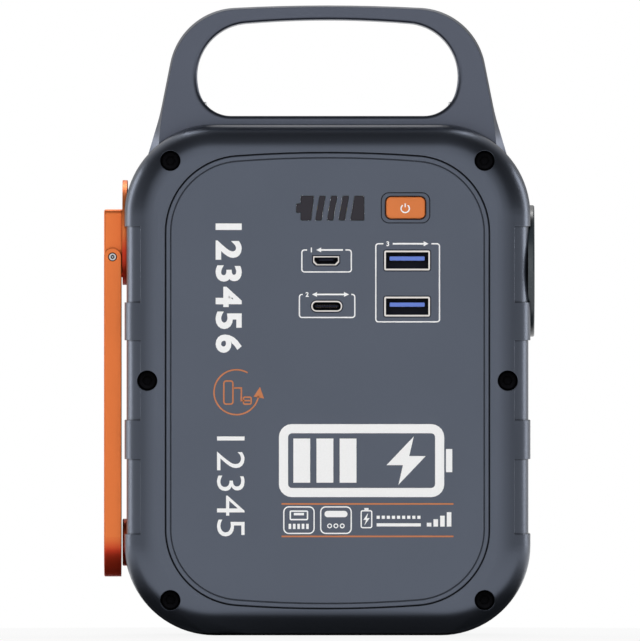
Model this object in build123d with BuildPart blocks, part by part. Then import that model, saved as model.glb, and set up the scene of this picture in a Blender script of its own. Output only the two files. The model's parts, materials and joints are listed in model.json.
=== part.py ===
from build123d import *

import os
from math import acos, atan2, cos, degrees, pi, radians, sin, tan

# Hand crank phone charger: a rounded box with a carry handle, four sockets, a torch in its
# right side, a lamp bar in its back and a folding crank on its left side.
# Millimetres. X to the right, Y to the back, Z up. Origin: centre of the flat base.

# ---- casing ---------------------------------------------------------------------------
BODY_W, BODY_H, BODY_D = 115.8, 145.6, 60.0
CORNER_R = 25.65              # corners of the front outline
EDGE_R = 9.5                  # rounding of the front and back edges
WALL = 2.2
FACE_WALL = 3.0               # front and back walls, which hold the inset panels
PARTING_Y = -12.0             # joint between front cover and rear shell
SEAM = 0.3                    # half width and depth of the groove at that joint
MID_Z = BODY_H / 2
FRONT_Y, BACK_Y = -BODY_D / 2, BODY_D / 2

BANDS = ((28.9, 50.3), (61.4, 84.2), (95.0, 116.7))   # recessed bands on both sides, in Z
BAND_DEPTH = 0.57
BAND_INNER_X = 53.3           # where a band ends on the rounded edge

PANEL_HALF_W = 46.36
PANEL_LOW, PANEL_HIGH = 7.5, 137.9
REAR_PANEL_HIGH = 116.0
PANEL_ARCH = 3.0              # rise of its top and bottom edges
PANEL_CORNER = 22.0
PANEL_T = 1.6
PANEL_GAP = 0.25
PANEL_LINE_IN = 1.5           # thin line just inside the panel's edge
PANEL_LINE_W, PANEL_LINE_DEPTH = 0.35, 0.3

SCREW_SPOTS = [(sx * x, z) for x, z in ((44.8, 135.4), (51.4, 72.7), (44.8, 10.1)) for sx in (-1, 1)]
POST_R = 4.2
SCREW_HOLE_R = 2.9
SCREW_SEAT_Y = -16.5
SCREW_HEAD_R, SCREW_HEAD_T = 2.7, 2.2
SCREW_R, SCREW_END_Y = 1.45, 2.0

# ---- sockets, gauge and button, all on the front panel ----------------------------------
USB_A_X, USB_A_Z = 22.7, (106.95, 93.8)
USB_A_W, USB_A_H = 13.1, 5.7
USB_A_TONGUE_W, USB_A_TONGUE_T, USB_A_TONGUE_UP = 10.0, 1.2, 0.55
USB_C_X, USB_C_Z = -0.22, 93.9
USB_C_W, USB_C_H = 8.85, 3.15
MICRO_X, MICRO_Z = -0.38, 106.85
MICRO_W, MICRO_H = 7.45, 2.62
SOCKET_GAP = 0.15
SOCKET_Y = -29.7              # mouth of the sockets
BUTTON_X, BUTTON_Z = 22.25, 121.95
BUTTON_W, BUTTON_H, BUTTON_R = 11.2, 6.2, 1.5
BUTTON_GAP = 0.3
BUTTON_PROUD, BUTTON_TRAVEL = 0.6, 0.8
BEZEL_W, BEZEL_H, BEZEL_R = 13.6, 8.4, 2.1
GAUGE_Z, GAUGE_H = 121.87, 7.0

# ---- main board -------------------------------------------------------------------------
BOARD_Y, BOARD_T = -14.0, 1.6
BOARD_X, BOARD_Z = (-14.0, 38.0), (84.0, 131.0)
BOARD_SPOTS = ((-10.8, 87.5), (34.6, 87.5), (-11.2, 112.5), (34.6, 127.0))

# ---- carry handle -----------------------------------------------------------------------
HANDLE_Y = (-11.8, 15.2)
HANDLE_TOP = 179.87           # top of its slight arch
HANDLE_SHOULDER = (42.0, 178.15)      # where the arch and a leg's side would cross
HANDLE_KNEE = (47.9, 148.5)           # where a leg starts to flare
HANDLE_KNEE_R = 60.0
HANDLE_FOOT = (51.8, 135.4)
HANDLE_CORNER = 19.6
HANDLE_BEVEL = 3.8            # depth of the bevel on its front and back edges
HANDLE_BEVEL_TOP, HANDLE_BEVEL_FOOT = 0.5, 3.2
GRIP_TOP = 175.75             # top of the finger hole's arch
GRIP_SHOULDER = (40.3, 172.8)
GRIP_FOOT = (35.3, 148.28)
GRIP_TOP_R, GRIP_LOW_R = 15.2, 9.5
GRIP_EDGE_R = 1.4
HANDLE_SCREWS = [(sx * 36.0, y) for sx in (-1, 1) for y in (-5.0, 8.0)]

# ---- torch in the right side ------------------------------------------------------------
TORCH_Y, TORCH_Z, TORCH_R, TORCH_X = -5.0, 104.0, 18.8, 59.1
TORCH_SEAT_X = 57.2
TORCH_SLEEVE_R, TORCH_SLEEVE_T = 16.8, 1.4
TORCH_INSIDE_R = TORCH_SLEEVE_R - TORCH_SLEEVE_T
LENS_X, LENS_T = 56.4, 1.8
LED_X, LED_BOARD_T, LED_BOARD_R = 44.0, 1.6, 13.0   # front of the torch's small board

# ---- lamp bar in the back ---------------------------------------------------------------
LAMP_Z, LAMP_W, LAMP_H = 128.0, 62.0, 8.0
LAMP_BOARD_Y = 22.9

# ---- batteries --------------------------------------------------------------------------
CELL_R, CELL_L, CELL_PITCH, CELL_LOW, CELL_Y = 9.2, 65.0, 18.8, 9.0, 2.0

# ---- crank ------------------------------------------------------------------------------
CRANK_Z = 115.0
HUB_X, DISC_X, RECESS_X = -63.85, -58.6, -56.9
DISC_R = 15.0
HUB_HALF_Y, HUB_LOW, HUB_HIGH = 9.2, 102.2, 121.6
PIVOT_X, PIVOT_Z, PIVOT_R = -61.4, 108.0, 1.0
ARM_HALF_Y, ARM_IN_X = 11.4, -58.95
ARM_END_Z = 16.6
CHEEK = 1.8
WEB = 1.2
FORK_Z = 93.4                 # below this the arm's web begins
POCKET_HIGH = 78.0
KNUCKLE_X, KNUCKLE_Z, KNUCKLE_PIN_R = -60.7, 26.4, 1.0
PADDLE_HALF_T, PADDLE_HALF_Y, PADDLE_HIGH = 1.65, 9.2, 74.4
RUN = 0.05                    # radial clearance of a running fit
BOSS_Z, BOSS_R = 26.4, 6.75
SHAFT_R = 3.0

# ---- gear train, on axes parallel to X --------------------------------------------------
STAGE_1 = (0.6, 50, 12)       # module, driver teeth, follower teeth
STAGE_2 = (0.5, 40, 10)
STAGE_3 = (0.5, 40, 10)
THINNING = 0.11               # taken off each tooth's thickness, for backlash
AXIS_0 = (0.0, CRANK_Z)


def centre_distance(stage):
    module, driver, follower = stage
    return module * (driver + follower) / 2


def step_from(axis, stage, angle):
    """The next axis of the train, at this angle from +Y towards +Z."""
    distance = centre_distance(stage)
    return (axis[0] + distance * cos(radians(angle)), axis[1] + distance * sin(radians(angle)))


AXIS_1 = step_from(AXIS_0, STAGE_1, -60.0)
AXIS_2 = step_from(AXIS_1, STAGE_2, -150.0)
AXIS_3 = step_from(AXIS_2, STAGE_3, 124.0)
LAYER_A, LAYER_B, LAYER_C = (-52.6, -49.6), (-49.2, -46.7), (-46.3, -43.8)
OUTER_PLATE, INNER_PLATE = (-54.6, -53.4), (-43.4, -41.9)
PLATE_Y, PLATE_Z = 19.0, (79.0, 124.0)
STANDOFFS = ((-16.0, 82.5), (16.0, 82.5), (-17.0, 121.0), (17.0, 121.0))
STANDOFF_R = 2.0
PIN_R = 1.0
CAN_R, CAN_END_X = 12.0, -19.0
CAN_WALL = 0.8


# ---- helpers ----------------------------------------------------------------------------
def plane_x(x):
    """A plane across X: its own x is +Y, its own y is +Z, and it faces +X."""
    return Plane.YZ.offset(x)


def plane_y(y):
    """A plane across Y: its own x is +X, its own y is +Z, and it faces the front, -Y."""
    return Plane.XZ.offset(-y)


def plane_z(z):
    return Plane.XY.offset(z)


def save(piece, name):
    piece.part.label = name
    export_step(piece.part, f"parts/{name}.step")


def rounded_block(inset, half_depth, edge):
    """The casing's rounded box, smaller all round by the inset."""
    with BuildPart() as block:
        with BuildSketch(plane_y(half_depth)):
            with Locations((0, MID_Z)):
                RectangleRounded(BODY_W - 2 * inset, BODY_H - 2 * inset, CORNER_R - inset)
        extrude(amount=2 * half_depth)
        faces = block.faces().sort_by(Axis.Y)
        fillet(faces[0].edges() + faces[-1].edges(), edge)
    return block.part


def panel_face(half_w, low, high, corner):
    """A rounded panel whose top and bottom edges are slightly arched."""
    with BuildSketch() as face:
        with BuildLine():
            Line((-half_w, high - PANEL_ARCH), (-half_w, low + PANEL_ARCH))
            ThreePointArc((-half_w, low + PANEL_ARCH), (0, low), (half_w, low + PANEL_ARCH))
            Line((half_w, low + PANEL_ARCH), (half_w, high - PANEL_ARCH))
            ThreePointArc((half_w, high - PANEL_ARCH), (0, high), (-half_w, high - PANEL_ARCH))
        make_face()
        fillet(face.vertices(), corner)
    return face.sketch


def inset_panel_face(inset, high=PANEL_HIGH):
    return panel_face(PANEL_HALF_W - inset, PANEL_LOW + inset, high - inset, PANEL_CORNER - inset)


def micro_face(grow):
    """The micro socket's outline: a low bar with its lower corners cut off."""
    half_w, half_h, cut = MICRO_W / 2 + grow, MICRO_H / 2 + grow, 0.9
    with BuildSketch() as face:
        with Locations((MICRO_X, MICRO_Z)):
            Polygon((-half_w, half_h), (-half_w, cut - half_h), (cut - half_w, -half_h),
                    (half_w - cut, -half_h), (half_w, cut - half_h), (half_w, half_h),
                    align=None)
        fillet(face.vertices(), 0.35)
    return face.sketch


def socket_face(x, z, width, height, corner, grow):
    with BuildSketch() as face:
        with Locations((x, z)):
            RectangleRounded(width + 2 * grow, height + 2 * grow, corner + grow)
    return face.sketch


def all_sockets(grow):
    """The outlines of the four sockets, larger all round by grow."""
    faces = [socket_face(USB_A_X, z, USB_A_W, USB_A_H, 0.5, grow) for z in USB_A_Z]
    faces.append(socket_face(USB_C_X, USB_C_Z, USB_C_W, USB_C_H, 1.55, grow))
    faces.append(micro_face(grow))
    return faces


def gauge_bar(low_left, low_right, top_left, top_right, grow):
    """One window of the gauge, given by its corners' X in the height of the gauge."""
    low, high = GAUGE_Z - GAUGE_H / 2 - grow, GAUGE_Z + GAUGE_H / 2 + grow
    with BuildSketch() as face:
        Polygon((low_left - grow, low), (low_right + grow, low),
                (top_right + grow, high), (top_left - grow, high), align=None)
        fillet(face.vertices(), 0.3)
    return face.sketch


def gauge_faces(grow):
    """The gauge's windows: a first block with its terminal, three slanted bars and a last block."""
    first_left, bar_left, bar_w, lean, pitch, last_right = -7.64, -3.5, 1.77, 1.21, 3.33, 10.45
    nub_left, nub_h, overlap = -8.9, 2.6, 0.5
    faces = [gauge_bar(first_left, bar_left - 1.19, first_left, bar_left - 0.34, grow)]
    for i in range(3):
        left = bar_left + i * pitch
        faces.append(gauge_bar(left, left + bar_w, left + lean, left + lean + bar_w, grow))
    left = bar_left + 3 * pitch
    faces.append(gauge_bar(left, last_right, left + lean, last_right, grow))
    nub_w = first_left - nub_left + overlap
    with BuildSketch() as nub:
        with Locations((nub_left + nub_w / 2, GAUGE_Z)):
            RectangleRounded(nub_w + 2 * grow, nub_h + 2 * grow, 0.3)
    faces.append(nub.sketch)
    return faces


def tooth_half_angle(radius, pitch_r, teeth):
    """Half of the tooth's angle at this radius, for a 20 degree involute."""
    base_r = pitch_r * cos(radians(20))
    at_pitch, at_radius = radians(20), acos(min(1.0, base_r / radius))
    half_at_pitch = pi / (2 * teeth) - THINNING / (2 * pitch_r)
    return half_at_pitch + (tan(at_pitch) - at_pitch) - (tan(at_radius) - at_radius)


def gear_face(module, teeth, bore_r, towards, in_space):
    """A spur gear's outline with a tooth, or a space, facing the angle towards."""
    pitch_r = module * teeth / 2
    base_r = pitch_r * cos(radians(20))
    root_r, tip_r = pitch_r - 1.2 * module, pitch_r + 0.8 * module
    rungs = [root_r] + ([base_r] if base_r > root_r + 0.05 else []) + [pitch_r, tip_r]
    pitch_angle = 2 * pi / teeth
    start = radians(towards) + (pitch_angle / 2 if in_space else 0)
    points = []
    for i in range(teeth):
        middle = start + i * pitch_angle
        flank = [(r, tooth_half_angle(r, pitch_r, teeth)) for r in rungs]
        points += [(r * cos(middle - half), r * sin(middle - half)) for r, half in flank]
        points += [(r * cos(middle + half), r * sin(middle + half)) for r, half in reversed(flank)]
    with BuildSketch() as face:
        with BuildLine():
            Polyline(*points, close=True)
        make_face()
        Circle(bore_r, mode=Mode.SUBTRACT)
    return face.sketch


def angle_to(start, end):
    return degrees(atan2(end[1] - start[1], end[0] - start[0]))


def lead(points, bend, radius=0.65):
    """A short wire inside the casing, along straight runs joined by arcs."""
    with BuildPart() as wire:
        with BuildLine() as path:
            FilletPolyline(*points, radius=bend)
        with BuildSketch(Plane(origin=path.line @ 0, z_dir=path.line % 0)):
            Circle(radius)
        sweep()
    return wire.part


def group(*pieces):
    with BuildPart() as joined:
        for piece in pieces:
            add(piece)
    return joined


def screws(spots, plane, head_r, head_t, shank_r, shank_l):
    """Screws on the plane: the lengths of head and shank are signed along its normal."""
    with BuildPart() as pieces:
        with BuildSketch(plane):
            with Locations(*spots):
                Circle(head_r)
        extrude(amount=head_t)
        with BuildSketch(plane):
            with Locations(*spots):
                Circle(shank_r)
        extrude(amount=shank_l)
    return pieces.part


os.makedirs("parts", exist_ok=True)

# ---- casing, before it is divided --------------------------------------------------------
body_block = rounded_block(0, BODY_D / 2, EDGE_R)
band_block = rounded_block(BAND_DEPTH, BODY_D / 2 - BAND_DEPTH, EDGE_R - BAND_DEPTH)
cavity = rounded_block(WALL, BODY_D / 2 - FACE_WALL, EDGE_R - WALL)

with BuildPart() as side_bands:
    for side in (-1, 1):
        for low, high in BANDS:
            with Locations((side * (BAND_INNER_X + 60) / 2, 0, (low + high) / 2)):
                Box(60 - BAND_INNER_X, BODY_D + 2, high - low)
    add(band_block, mode=Mode.SUBTRACT)

with BuildPart() as seam_groove:
    with BuildSketch(plane_y(PARTING_Y + SEAM)):
        with Locations((0, MID_Z)):
            Rectangle(BODY_W + 4, BODY_H + 4)
            RectangleRounded(BODY_W - 2 * SEAM, BODY_H - 2 * SEAM, CORNER_R - SEAM, mode=Mode.SUBTRACT)
    extrude(amount=2 * SEAM)

with BuildPart() as casing:
    add(body_block)
    add(cavity, mode=Mode.SUBTRACT)
    with BuildSketch(plane_y(BACK_Y - FACE_WALL + 0.5)):
        with Locations(*SCREW_SPOTS):
            Circle(POST_R)
    extrude(amount=BODY_D - 2 * FACE_WALL + 1)
    add(body_block, mode=Mode.INTERSECT)
    add(side_bands.part, mode=Mode.SUBTRACT)
    # seats of the torch, the crank disc and the rest boss, and the holes behind them
    with BuildSketch(plane_x(TORCH_SEAT_X)):
        with Locations((TORCH_Y, TORCH_Z)):
            Circle(TORCH_R + 0.2)
    extrude(amount=5, mode=Mode.SUBTRACT)
    with BuildSketch(plane_x(TORCH_SEAT_X - 3)):
        with Locations((TORCH_Y, TORCH_Z)):
            Circle(TORCH_SLEEVE_R + 0.1)
    extrude(amount=5, mode=Mode.SUBTRACT)
    with BuildSketch(plane_x(RECESS_X)):
        with Locations((0, CRANK_Z)):
            Circle(DISC_R + 0.5)
        with Locations((0, BOSS_Z)):
            Circle(BOSS_R)
    extrude(amount=-5, mode=Mode.SUBTRACT)
    with BuildSketch(plane_x(RECESS_X - 1)):
        with Locations((0, CRANK_Z), (0, BOSS_Z)):
            Circle(SHAFT_R + 1.4)
    extrude(amount=5, mode=Mode.SUBTRACT)

# ---- front cover and its panel -----------------------------------------------------------
with BuildPart() as front_cover:
    add(casing.part)
    split(bisect_by=plane_y(PARTING_Y), keep=Keep.TOP)
    add(seam_groove.part, mode=Mode.SUBTRACT)
    # posts that carry the main board
    with BuildSketch(plane_y(BOARD_Y)):
        with Locations(*BOARD_SPOTS):
            Circle(2.8)
    extrude(amount=BOARD_Y - FRONT_Y - FACE_WALL + 0.5)
    with BuildSketch(plane_y(BOARD_Y)):
        with Locations(*BOARD_SPOTS):
            Circle(0.95)
    extrude(amount=8, mode=Mode.SUBTRACT)
    with BuildSketch(plane_y(SCREW_SEAT_Y)):
        with Locations(*SCREW_SPOTS):
            Circle(SCREW_HOLE_R)
    extrude(amount=20, mode=Mode.SUBTRACT)
    with BuildSketch(plane_y(PARTING_Y + 1)):
        with Locations(*SCREW_SPOTS):
            Circle(SCREW_R + 0.15)
    extrude(amount=8, mode=Mode.SUBTRACT)
    with BuildSketch(plane_y(FRONT_Y + PANEL_T)):
        add(inset_panel_face(0))
    extrude(amount=5, mode=Mode.SUBTRACT)
    with BuildSketch(plane_y(FRONT_Y + FACE_WALL + 1)):
        for face in all_sockets(SOCKET_GAP):
            add(face)
        with Locations((BUTTON_X, BUTTON_Z)):
            RectangleRounded(BUTTON_W + 2 * BUTTON_GAP, BUTTON_H + 2 * BUTTON_GAP, BUTTON_R + BUTTON_GAP)
        with Locations((1.0, GAUGE_Z)):
            Rectangle(20.4, GAUGE_H + 1.0)
    extrude(amount=6, mode=Mode.SUBTRACT)
save(front_cover, "front_cover")

with BuildPart() as front_panel:
    with BuildSketch(plane_y(FRONT_Y + PANEL_T)):
        add(inset_panel_face(PANEL_GAP))
    extrude(amount=PANEL_T)
    chamfer(front_panel.faces().sort_by(Axis.Y)[0].edges(), 0.25)
    with BuildSketch(plane_y(FRONT_Y + PANEL_LINE_DEPTH)):
        add(inset_panel_face(PANEL_LINE_IN))
        add(inset_panel_face(PANEL_LINE_IN + PANEL_LINE_W), mode=Mode.SUBTRACT)
    extrude(amount=1, mode=Mode.SUBTRACT)
    with BuildSketch(plane_y(FRONT_Y + PANEL_T + 1)):
        for face in all_sockets(SOCKET_GAP):
            add(face)
        for face in gauge_faces(0.05):
            add(face)
        with Locations((BUTTON_X, BUTTON_Z)):
            RectangleRounded(BEZEL_W + 0.4, BEZEL_H + 0.4, BEZEL_R + 0.2)
    extrude(amount=4, mode=Mode.SUBTRACT)
save(front_panel, "front_panel")

with BuildPart() as casing_screws:
    with BuildSketch(plane_y(SCREW_SEAT_Y)):
        with Locations(*SCREW_SPOTS):
            Circle(SCREW_HEAD_R)
    extrude(amount=SCREW_HEAD_T)
    fillet(casing_screws.faces().group_by(Axis.Y)[0].edges(), 0.5)
    with BuildSketch(plane_y(SCREW_END_Y)):
        with Locations(*SCREW_SPOTS):
            Circle(SCREW_R)
    extrude(amount=SCREW_END_Y - SCREW_SEAT_Y)
    with BuildSketch(plane_y(SCREW_SEAT_Y - SCREW_HEAD_T + 1.3)):
        with Locations(*SCREW_SPOTS):
            RegularPolygon(1.45, 6)
    extrude(amount=2, mode=Mode.SUBTRACT)
save(casing_screws, "casing_screws")

# ---- rear shell and its panel ------------------------------------------------------------
TRAY_Y = (5.5, 14.5)
TRAY_SPOTS = ((-41.5, 20.0), (41.5, 20.0), (-41.5, 62.0), (41.5, 62.0))

with BuildPart() as rear_shell:
    add(casing.part)
    split(bisect_by=plane_y(PARTING_Y), keep=Keep.BOTTOM)
    add(seam_groove.part, mode=Mode.SUBTRACT)
    # bosses that carry the battery tray and the lamp board
    with BuildSketch(plane_y(BACK_Y - FACE_WALL + 0.5)):
        with Locations(*TRAY_SPOTS):
            Circle(3.2)
    extrude(amount=BACK_Y - FACE_WALL + 0.5 - TRAY_Y[1])
    with BuildSketch(plane_y(TRAY_Y[1] + 8)):
        with Locations(*TRAY_SPOTS):
            Circle(1.1)
    extrude(amount=9, mode=Mode.SUBTRACT)
    with BuildSketch(plane_y(BACK_Y - FACE_WALL + 0.5)):
        with Locations((-34.5, LAMP_Z), (34.5, LAMP_Z)):
            RectangleRounded(4.5, 8.0, 1.0)
    extrude(amount=BACK_Y - FACE_WALL + 0.5 - LAMP_BOARD_Y)
    with BuildSketch(plane_y(SCREW_END_Y + 1)):
        with Locations(*SCREW_SPOTS):
            Circle(SCREW_R)
    extrude(amount=20, mode=Mode.SUBTRACT)
    with BuildSketch(plane_y(BACK_Y - PANEL_T)):
        add(inset_panel_face(0, REAR_PANEL_HIGH))
    extrude(amount=-5, mode=Mode.SUBTRACT)
    with BuildSketch(plane_y(BACK_Y + 1)):
        with Locations((0, LAMP_Z)):
            RectangleRounded(LAMP_W + 0.3, LAMP_H + 0.3, 3.2)
    extrude(amount=FACE_WALL + 2, mode=Mode.SUBTRACT)
    with BuildSketch(plane_z(BODY_H + 1)):
        with Locations(*HANDLE_SCREWS):
            Circle(SCREW_R + 0.15)
    extrude(amount=-5, mode=Mode.SUBTRACT)
save(rear_shell, "rear_shell")

with BuildPart() as rear_panel:
    with BuildSketch(plane_y(BACK_Y)):
        add(inset_panel_face(PANEL_GAP, REAR_PANEL_HIGH))
    extrude(amount=PANEL_T)
    chamfer(rear_panel.faces().sort_by(Axis.Y)[-1].edges(), 0.25)
    with BuildSketch(plane_y(BACK_Y + 1)):
        add(inset_panel_face(PANEL_LINE_IN, REAR_PANEL_HIGH))
        add(inset_panel_face(PANEL_LINE_IN + PANEL_LINE_W, REAR_PANEL_HIGH), mode=Mode.SUBTRACT)
    extrude(amount=1 + PANEL_LINE_DEPTH, mode=Mode.SUBTRACT)
save(rear_panel, "rear_panel")

# ---- carry handle ------------------------------------------------------------------------
def arched_face(top, side, shoulder_r, foot_r=0):
    """A wide face with an arched top: the arch, one side from shoulder to foot, and their rounding."""
    other_side = [(-x, z) for x, z in reversed(side)]
    with BuildSketch() as face:
        with BuildLine():
            ThreePointArc(other_side[-1], (0, top), side[0])
            Polyline(*side, *other_side)
        make_face()
        fillet(face.vertices().group_by(Axis.Y)[-1], shoulder_r)
        if foot_r:
            fillet(face.vertices().group_by(Axis.Y)[0], foot_r)
    return face.sketch


def handle_face(top_in, foot_in):
    """The handle's outer outline, drawn in by these amounts at its top and at its feet."""
    side = [(HANDLE_SHOULDER[0] - top_in, HANDLE_SHOULDER[1] - top_in),
            (HANDLE_KNEE[0] - top_in, HANDLE_KNEE[1]),
            (HANDLE_FOOT[0] - foot_in, HANDLE_FOOT[1])]
    with BuildSketch() as outline:
        add(arched_face(HANDLE_TOP - top_in, side, HANDLE_CORNER))
        fillet(outline.vertices().group_by(Axis.Y)[1], HANDLE_KNEE_R)
    return outline.sketch


HANDLE_WIDE = handle_face(0, 0)
HANDLE_NARROW = handle_face(HANDLE_BEVEL_TOP, HANDLE_BEVEL_FOOT)

with BuildPart() as carry_handle:
    with BuildSketch(plane_y(HANDLE_Y[1] - HANDLE_BEVEL)):
        add(HANDLE_WIDE)
    extrude(amount=HANDLE_Y[1] - HANDLE_Y[0] - 2 * HANDLE_BEVEL)
    for narrow_y, inward in ((HANDLE_Y[0], 1), (HANDLE_Y[1], -1)):
        wide_y = narrow_y + inward * HANDLE_BEVEL
        with BuildSketch(plane_y(wide_y)):
            add(HANDLE_WIDE)
        with BuildSketch(plane_y(narrow_y)):
            add(HANDLE_NARROW)
        loft()
    with BuildSketch(plane_y(HANDLE_Y[1] + 1)):
        add(arched_face(GRIP_TOP, [GRIP_SHOULDER, GRIP_FOOT], GRIP_TOP_R, GRIP_LOW_R))
    extrude(amount=HANDLE_Y[1] - HANDLE_Y[0] + 2, mode=Mode.SUBTRACT)
    sides = carry_handle.faces().sort_by(Axis.Y)
    fillet(sides[0].inner_wires()[0].edges() + sides[-1].inner_wires()[0].edges(), GRIP_EDGE_R)
    with BuildSketch(plane_y(HANDLE_Y[1] + 1)):
        with Locations((0, MID_Z)):
            RectangleRounded(BODY_W, BODY_H, CORNER_R)
    extrude(amount=HANDLE_Y[1] - HANDLE_Y[0] + 2, mode=Mode.SUBTRACT)
    with BuildSketch(plane_z(BODY_H - 2)):
        with Locations(*HANDLE_SCREWS):
            Circle(SCREW_R)
    extrude(amount=9, mode=Mode.SUBTRACT)
save(carry_handle, "carry_handle")

# ---- gauge -------------------------------------------------------------------------------
with BuildPart() as gauge_lenses:
    with BuildSketch(plane_y(FRONT_Y + PANEL_T)):
        for face in gauge_faces(0):
            add(face)
    extrude(amount=PANEL_T - 0.1)
save(gauge_lenses, "gauge_lenses")

with BuildPart() as gauge_light_guide:
    with BuildSketch(plane_y(BOARD_Y - 2)):
        with Locations((1.0, GAUGE_Z)):
            Rectangle(20.0, GAUGE_H + 0.6)
    extrude(amount=BOARD_Y - 2 - FRONT_Y - PANEL_T)
save(gauge_light_guide, "gauge_light_guide")

with BuildPart() as gauge_leds:
    with BuildSketch(plane_y(BOARD_Y)):
        with Locations((1.0, GAUGE_Z)):
            with GridLocations(3.6, 1, 5, 1):
                Rectangle(2.0, 1.25)
    extrude(amount=0.8)
save(gauge_leds, "gauge_leds")

# ---- power button ------------------------------------------------------------------------
COVER_FLOOR_Y = FRONT_Y + PANEL_T
COVER_INNER_Y = FRONT_Y + FACE_WALL
PLUNGER_Y = (-18.2, -16.2)
SWITCH_FRONT_Y = -17.6
PLUNGER_R, POST_W = 1.5, 2.2     # the post on the button passes through the switch's round hole

with BuildPart() as button_bezel:
    with BuildSketch(plane_y(COVER_FLOOR_Y)):
        with Locations((BUTTON_X, BUTTON_Z)):
            RectangleRounded(BEZEL_W, BEZEL_H, BEZEL_R)
            RectangleRounded(BUTTON_W + 2 * BUTTON_GAP, BUTTON_H + 2 * BUTTON_GAP, BUTTON_R + BUTTON_GAP,
                             mode=Mode.SUBTRACT)
    extrude(amount=PANEL_T)
save(button_bezel, "button_bezel")

with BuildPart() as power_button:
    with BuildSketch(plane_y(COVER_INNER_Y + 0.1)):
        with Locations((BUTTON_X, BUTTON_Z)):
            RectangleRounded(BUTTON_W, BUTTON_H, BUTTON_R)
    extrude(amount=FACE_WALL + BUTTON_PROUD + 0.1)
    fillet(power_button.faces().sort_by(Axis.Y)[0].edges(), 0.5)
    with BuildSketch(plane_y(COVER_INNER_Y + 0.1)):
        with Locations((BUTTON_X, BUTTON_Z)):
            RectangleRounded(BUTTON_W + 2.4, BUTTON_H + 2.0, BUTTON_R)
    extrude(amount=-1.2)
    with BuildSketch(plane_y(COVER_INNER_Y + 1.3)):
        with Locations((BUTTON_X, BUTTON_Z)):
            Rectangle(POST_W, POST_W)
    extrude(amount=COVER_INNER_Y + 1.3 - PLUNGER_Y[0])
save(power_button, "power_button")

with BuildPart() as switch_plunger:
    with BuildSketch(plane_y(PLUNGER_Y[1])):
        with Locations((BUTTON_X, BUTTON_Z)):
            Circle(PLUNGER_R)
    extrude(amount=PLUNGER_Y[1] - PLUNGER_Y[0])
save(switch_plunger, "switch_plunger")

with BuildPart() as tact_switch:
    with BuildSketch(plane_y(BOARD_Y)):
        with Locations((BUTTON_X, BUTTON_Z)):
            RectangleRounded(6.0, 6.0, 0.4)
    extrude(amount=BOARD_Y - SWITCH_FRONT_Y)
    with BuildSketch(plane_y(PLUNGER_Y[1] + BUTTON_TRAVEL + 0.2)):
        with Locations((BUTTON_X, BUTTON_Z)):
            Circle(PLUNGER_R + 0.2)
    extrude(amount=5, mode=Mode.SUBTRACT)
save(tact_switch, "tact_switch")

# ---- sockets -----------------------------------------------------------------------------
SHELL_T = 0.35
SOCKET_DEPTH = 10.5           # free depth inside a socket
TONGUE_SET_BACK = 1.0


def socket_shells(outer_faces, inner_faces):
    """Metal shells from the board to the panel, open at the mouth."""
    with BuildPart() as shells:
        with BuildSketch(plane_y(BOARD_Y)):
            for face in outer_faces:
                add(face)
        extrude(amount=BOARD_Y - SOCKET_Y)
        with BuildSketch(plane_y(SOCKET_Y + SOCKET_DEPTH)):
            for face in inner_faces:
                add(face)
        extrude(amount=SOCKET_DEPTH + 1, mode=Mode.SUBTRACT)
    return shells


def tongues(spots, width, height):
    """Plastic tongues that stand on the floors of their sockets."""
    with BuildPart() as pieces:
        with BuildSketch(plane_y(SOCKET_Y + SOCKET_DEPTH)):
            with Locations(*spots):
                RectangleRounded(width, height, 0.25)
        extrude(amount=SOCKET_DEPTH - TONGUE_SET_BACK)
    return pieces


usb_a_shells = socket_shells(
    [socket_face(USB_A_X, z, USB_A_W, USB_A_H, 0.5, 0) for z in USB_A_Z],
    [socket_face(USB_A_X, z, USB_A_W, USB_A_H, 0.5, -SHELL_T) for z in USB_A_Z])
save(usb_a_shells, "usb_a_shells")
usb_a_tongues = tongues([(USB_A_X, z + USB_A_TONGUE_UP) for z in USB_A_Z], USB_A_TONGUE_W, USB_A_TONGUE_T)
save(usb_a_tongues, "usb_a_tongues")

usb_c_shell = socket_shells([socket_face(USB_C_X, USB_C_Z, USB_C_W, USB_C_H, 1.55, 0)],
                            [socket_face(USB_C_X, USB_C_Z, USB_C_W, USB_C_H, 1.55, -SHELL_T)])
save(usb_c_shell, "usb_c_shell")

micro_usb_shell = socket_shells([micro_face(0)], [micro_face(-SHELL_T)])
save(micro_usb_shell, "micro_usb_shell")
small_tongues = group(tongues([(USB_C_X, USB_C_Z)], 6.7, 0.7).part,
                      tongues([(MICRO_X, MICRO_Z + 0.35)], 4.2, 0.65).part)
save(small_tongues, "small_tongues")

# ---- main board --------------------------------------------------------------------------
with BuildPart() as main_board:
    with BuildSketch(plane_y(BOARD_Y + BOARD_T)):
        with Locations((sum(BOARD_X) / 2, sum(BOARD_Z) / 2)):
            RectangleRounded(BOARD_X[1] - BOARD_X[0], BOARD_Z[1] - BOARD_Z[0], 2.0)
        with Locations(*BOARD_SPOTS):
            Circle(1.1, mode=Mode.SUBTRACT)
    extrude(amount=BOARD_T)
save(main_board, "main_board")

with BuildPart() as board_parts:
    with BuildSketch(plane_y(BOARD_Y + BOARD_T)):
        with Locations((3.0, 104.0), (20.0, 112.0)):
            Rectangle(7.0, 7.0)
        with Locations((24.0, 98.0)):
            Rectangle(10.0, 6.0)
    extrude(amount=-1.2)
    with BuildSketch(plane_y(BOARD_Y + BOARD_T)):
        with Locations((4.0, 90.0), (18.0, 90.0)):
            RectangleRounded(8.0, 8.0, 1.0)
    extrude(amount=-4.2)
    with BuildSketch(plane_y(BOARD_Y + BOARD_T)):
        with Locations((30.0, 106.0), (8.0, 118.0)):
            Circle(3.15)
    extrude(amount=-8.0)
save(board_parts, "board_parts")

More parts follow.
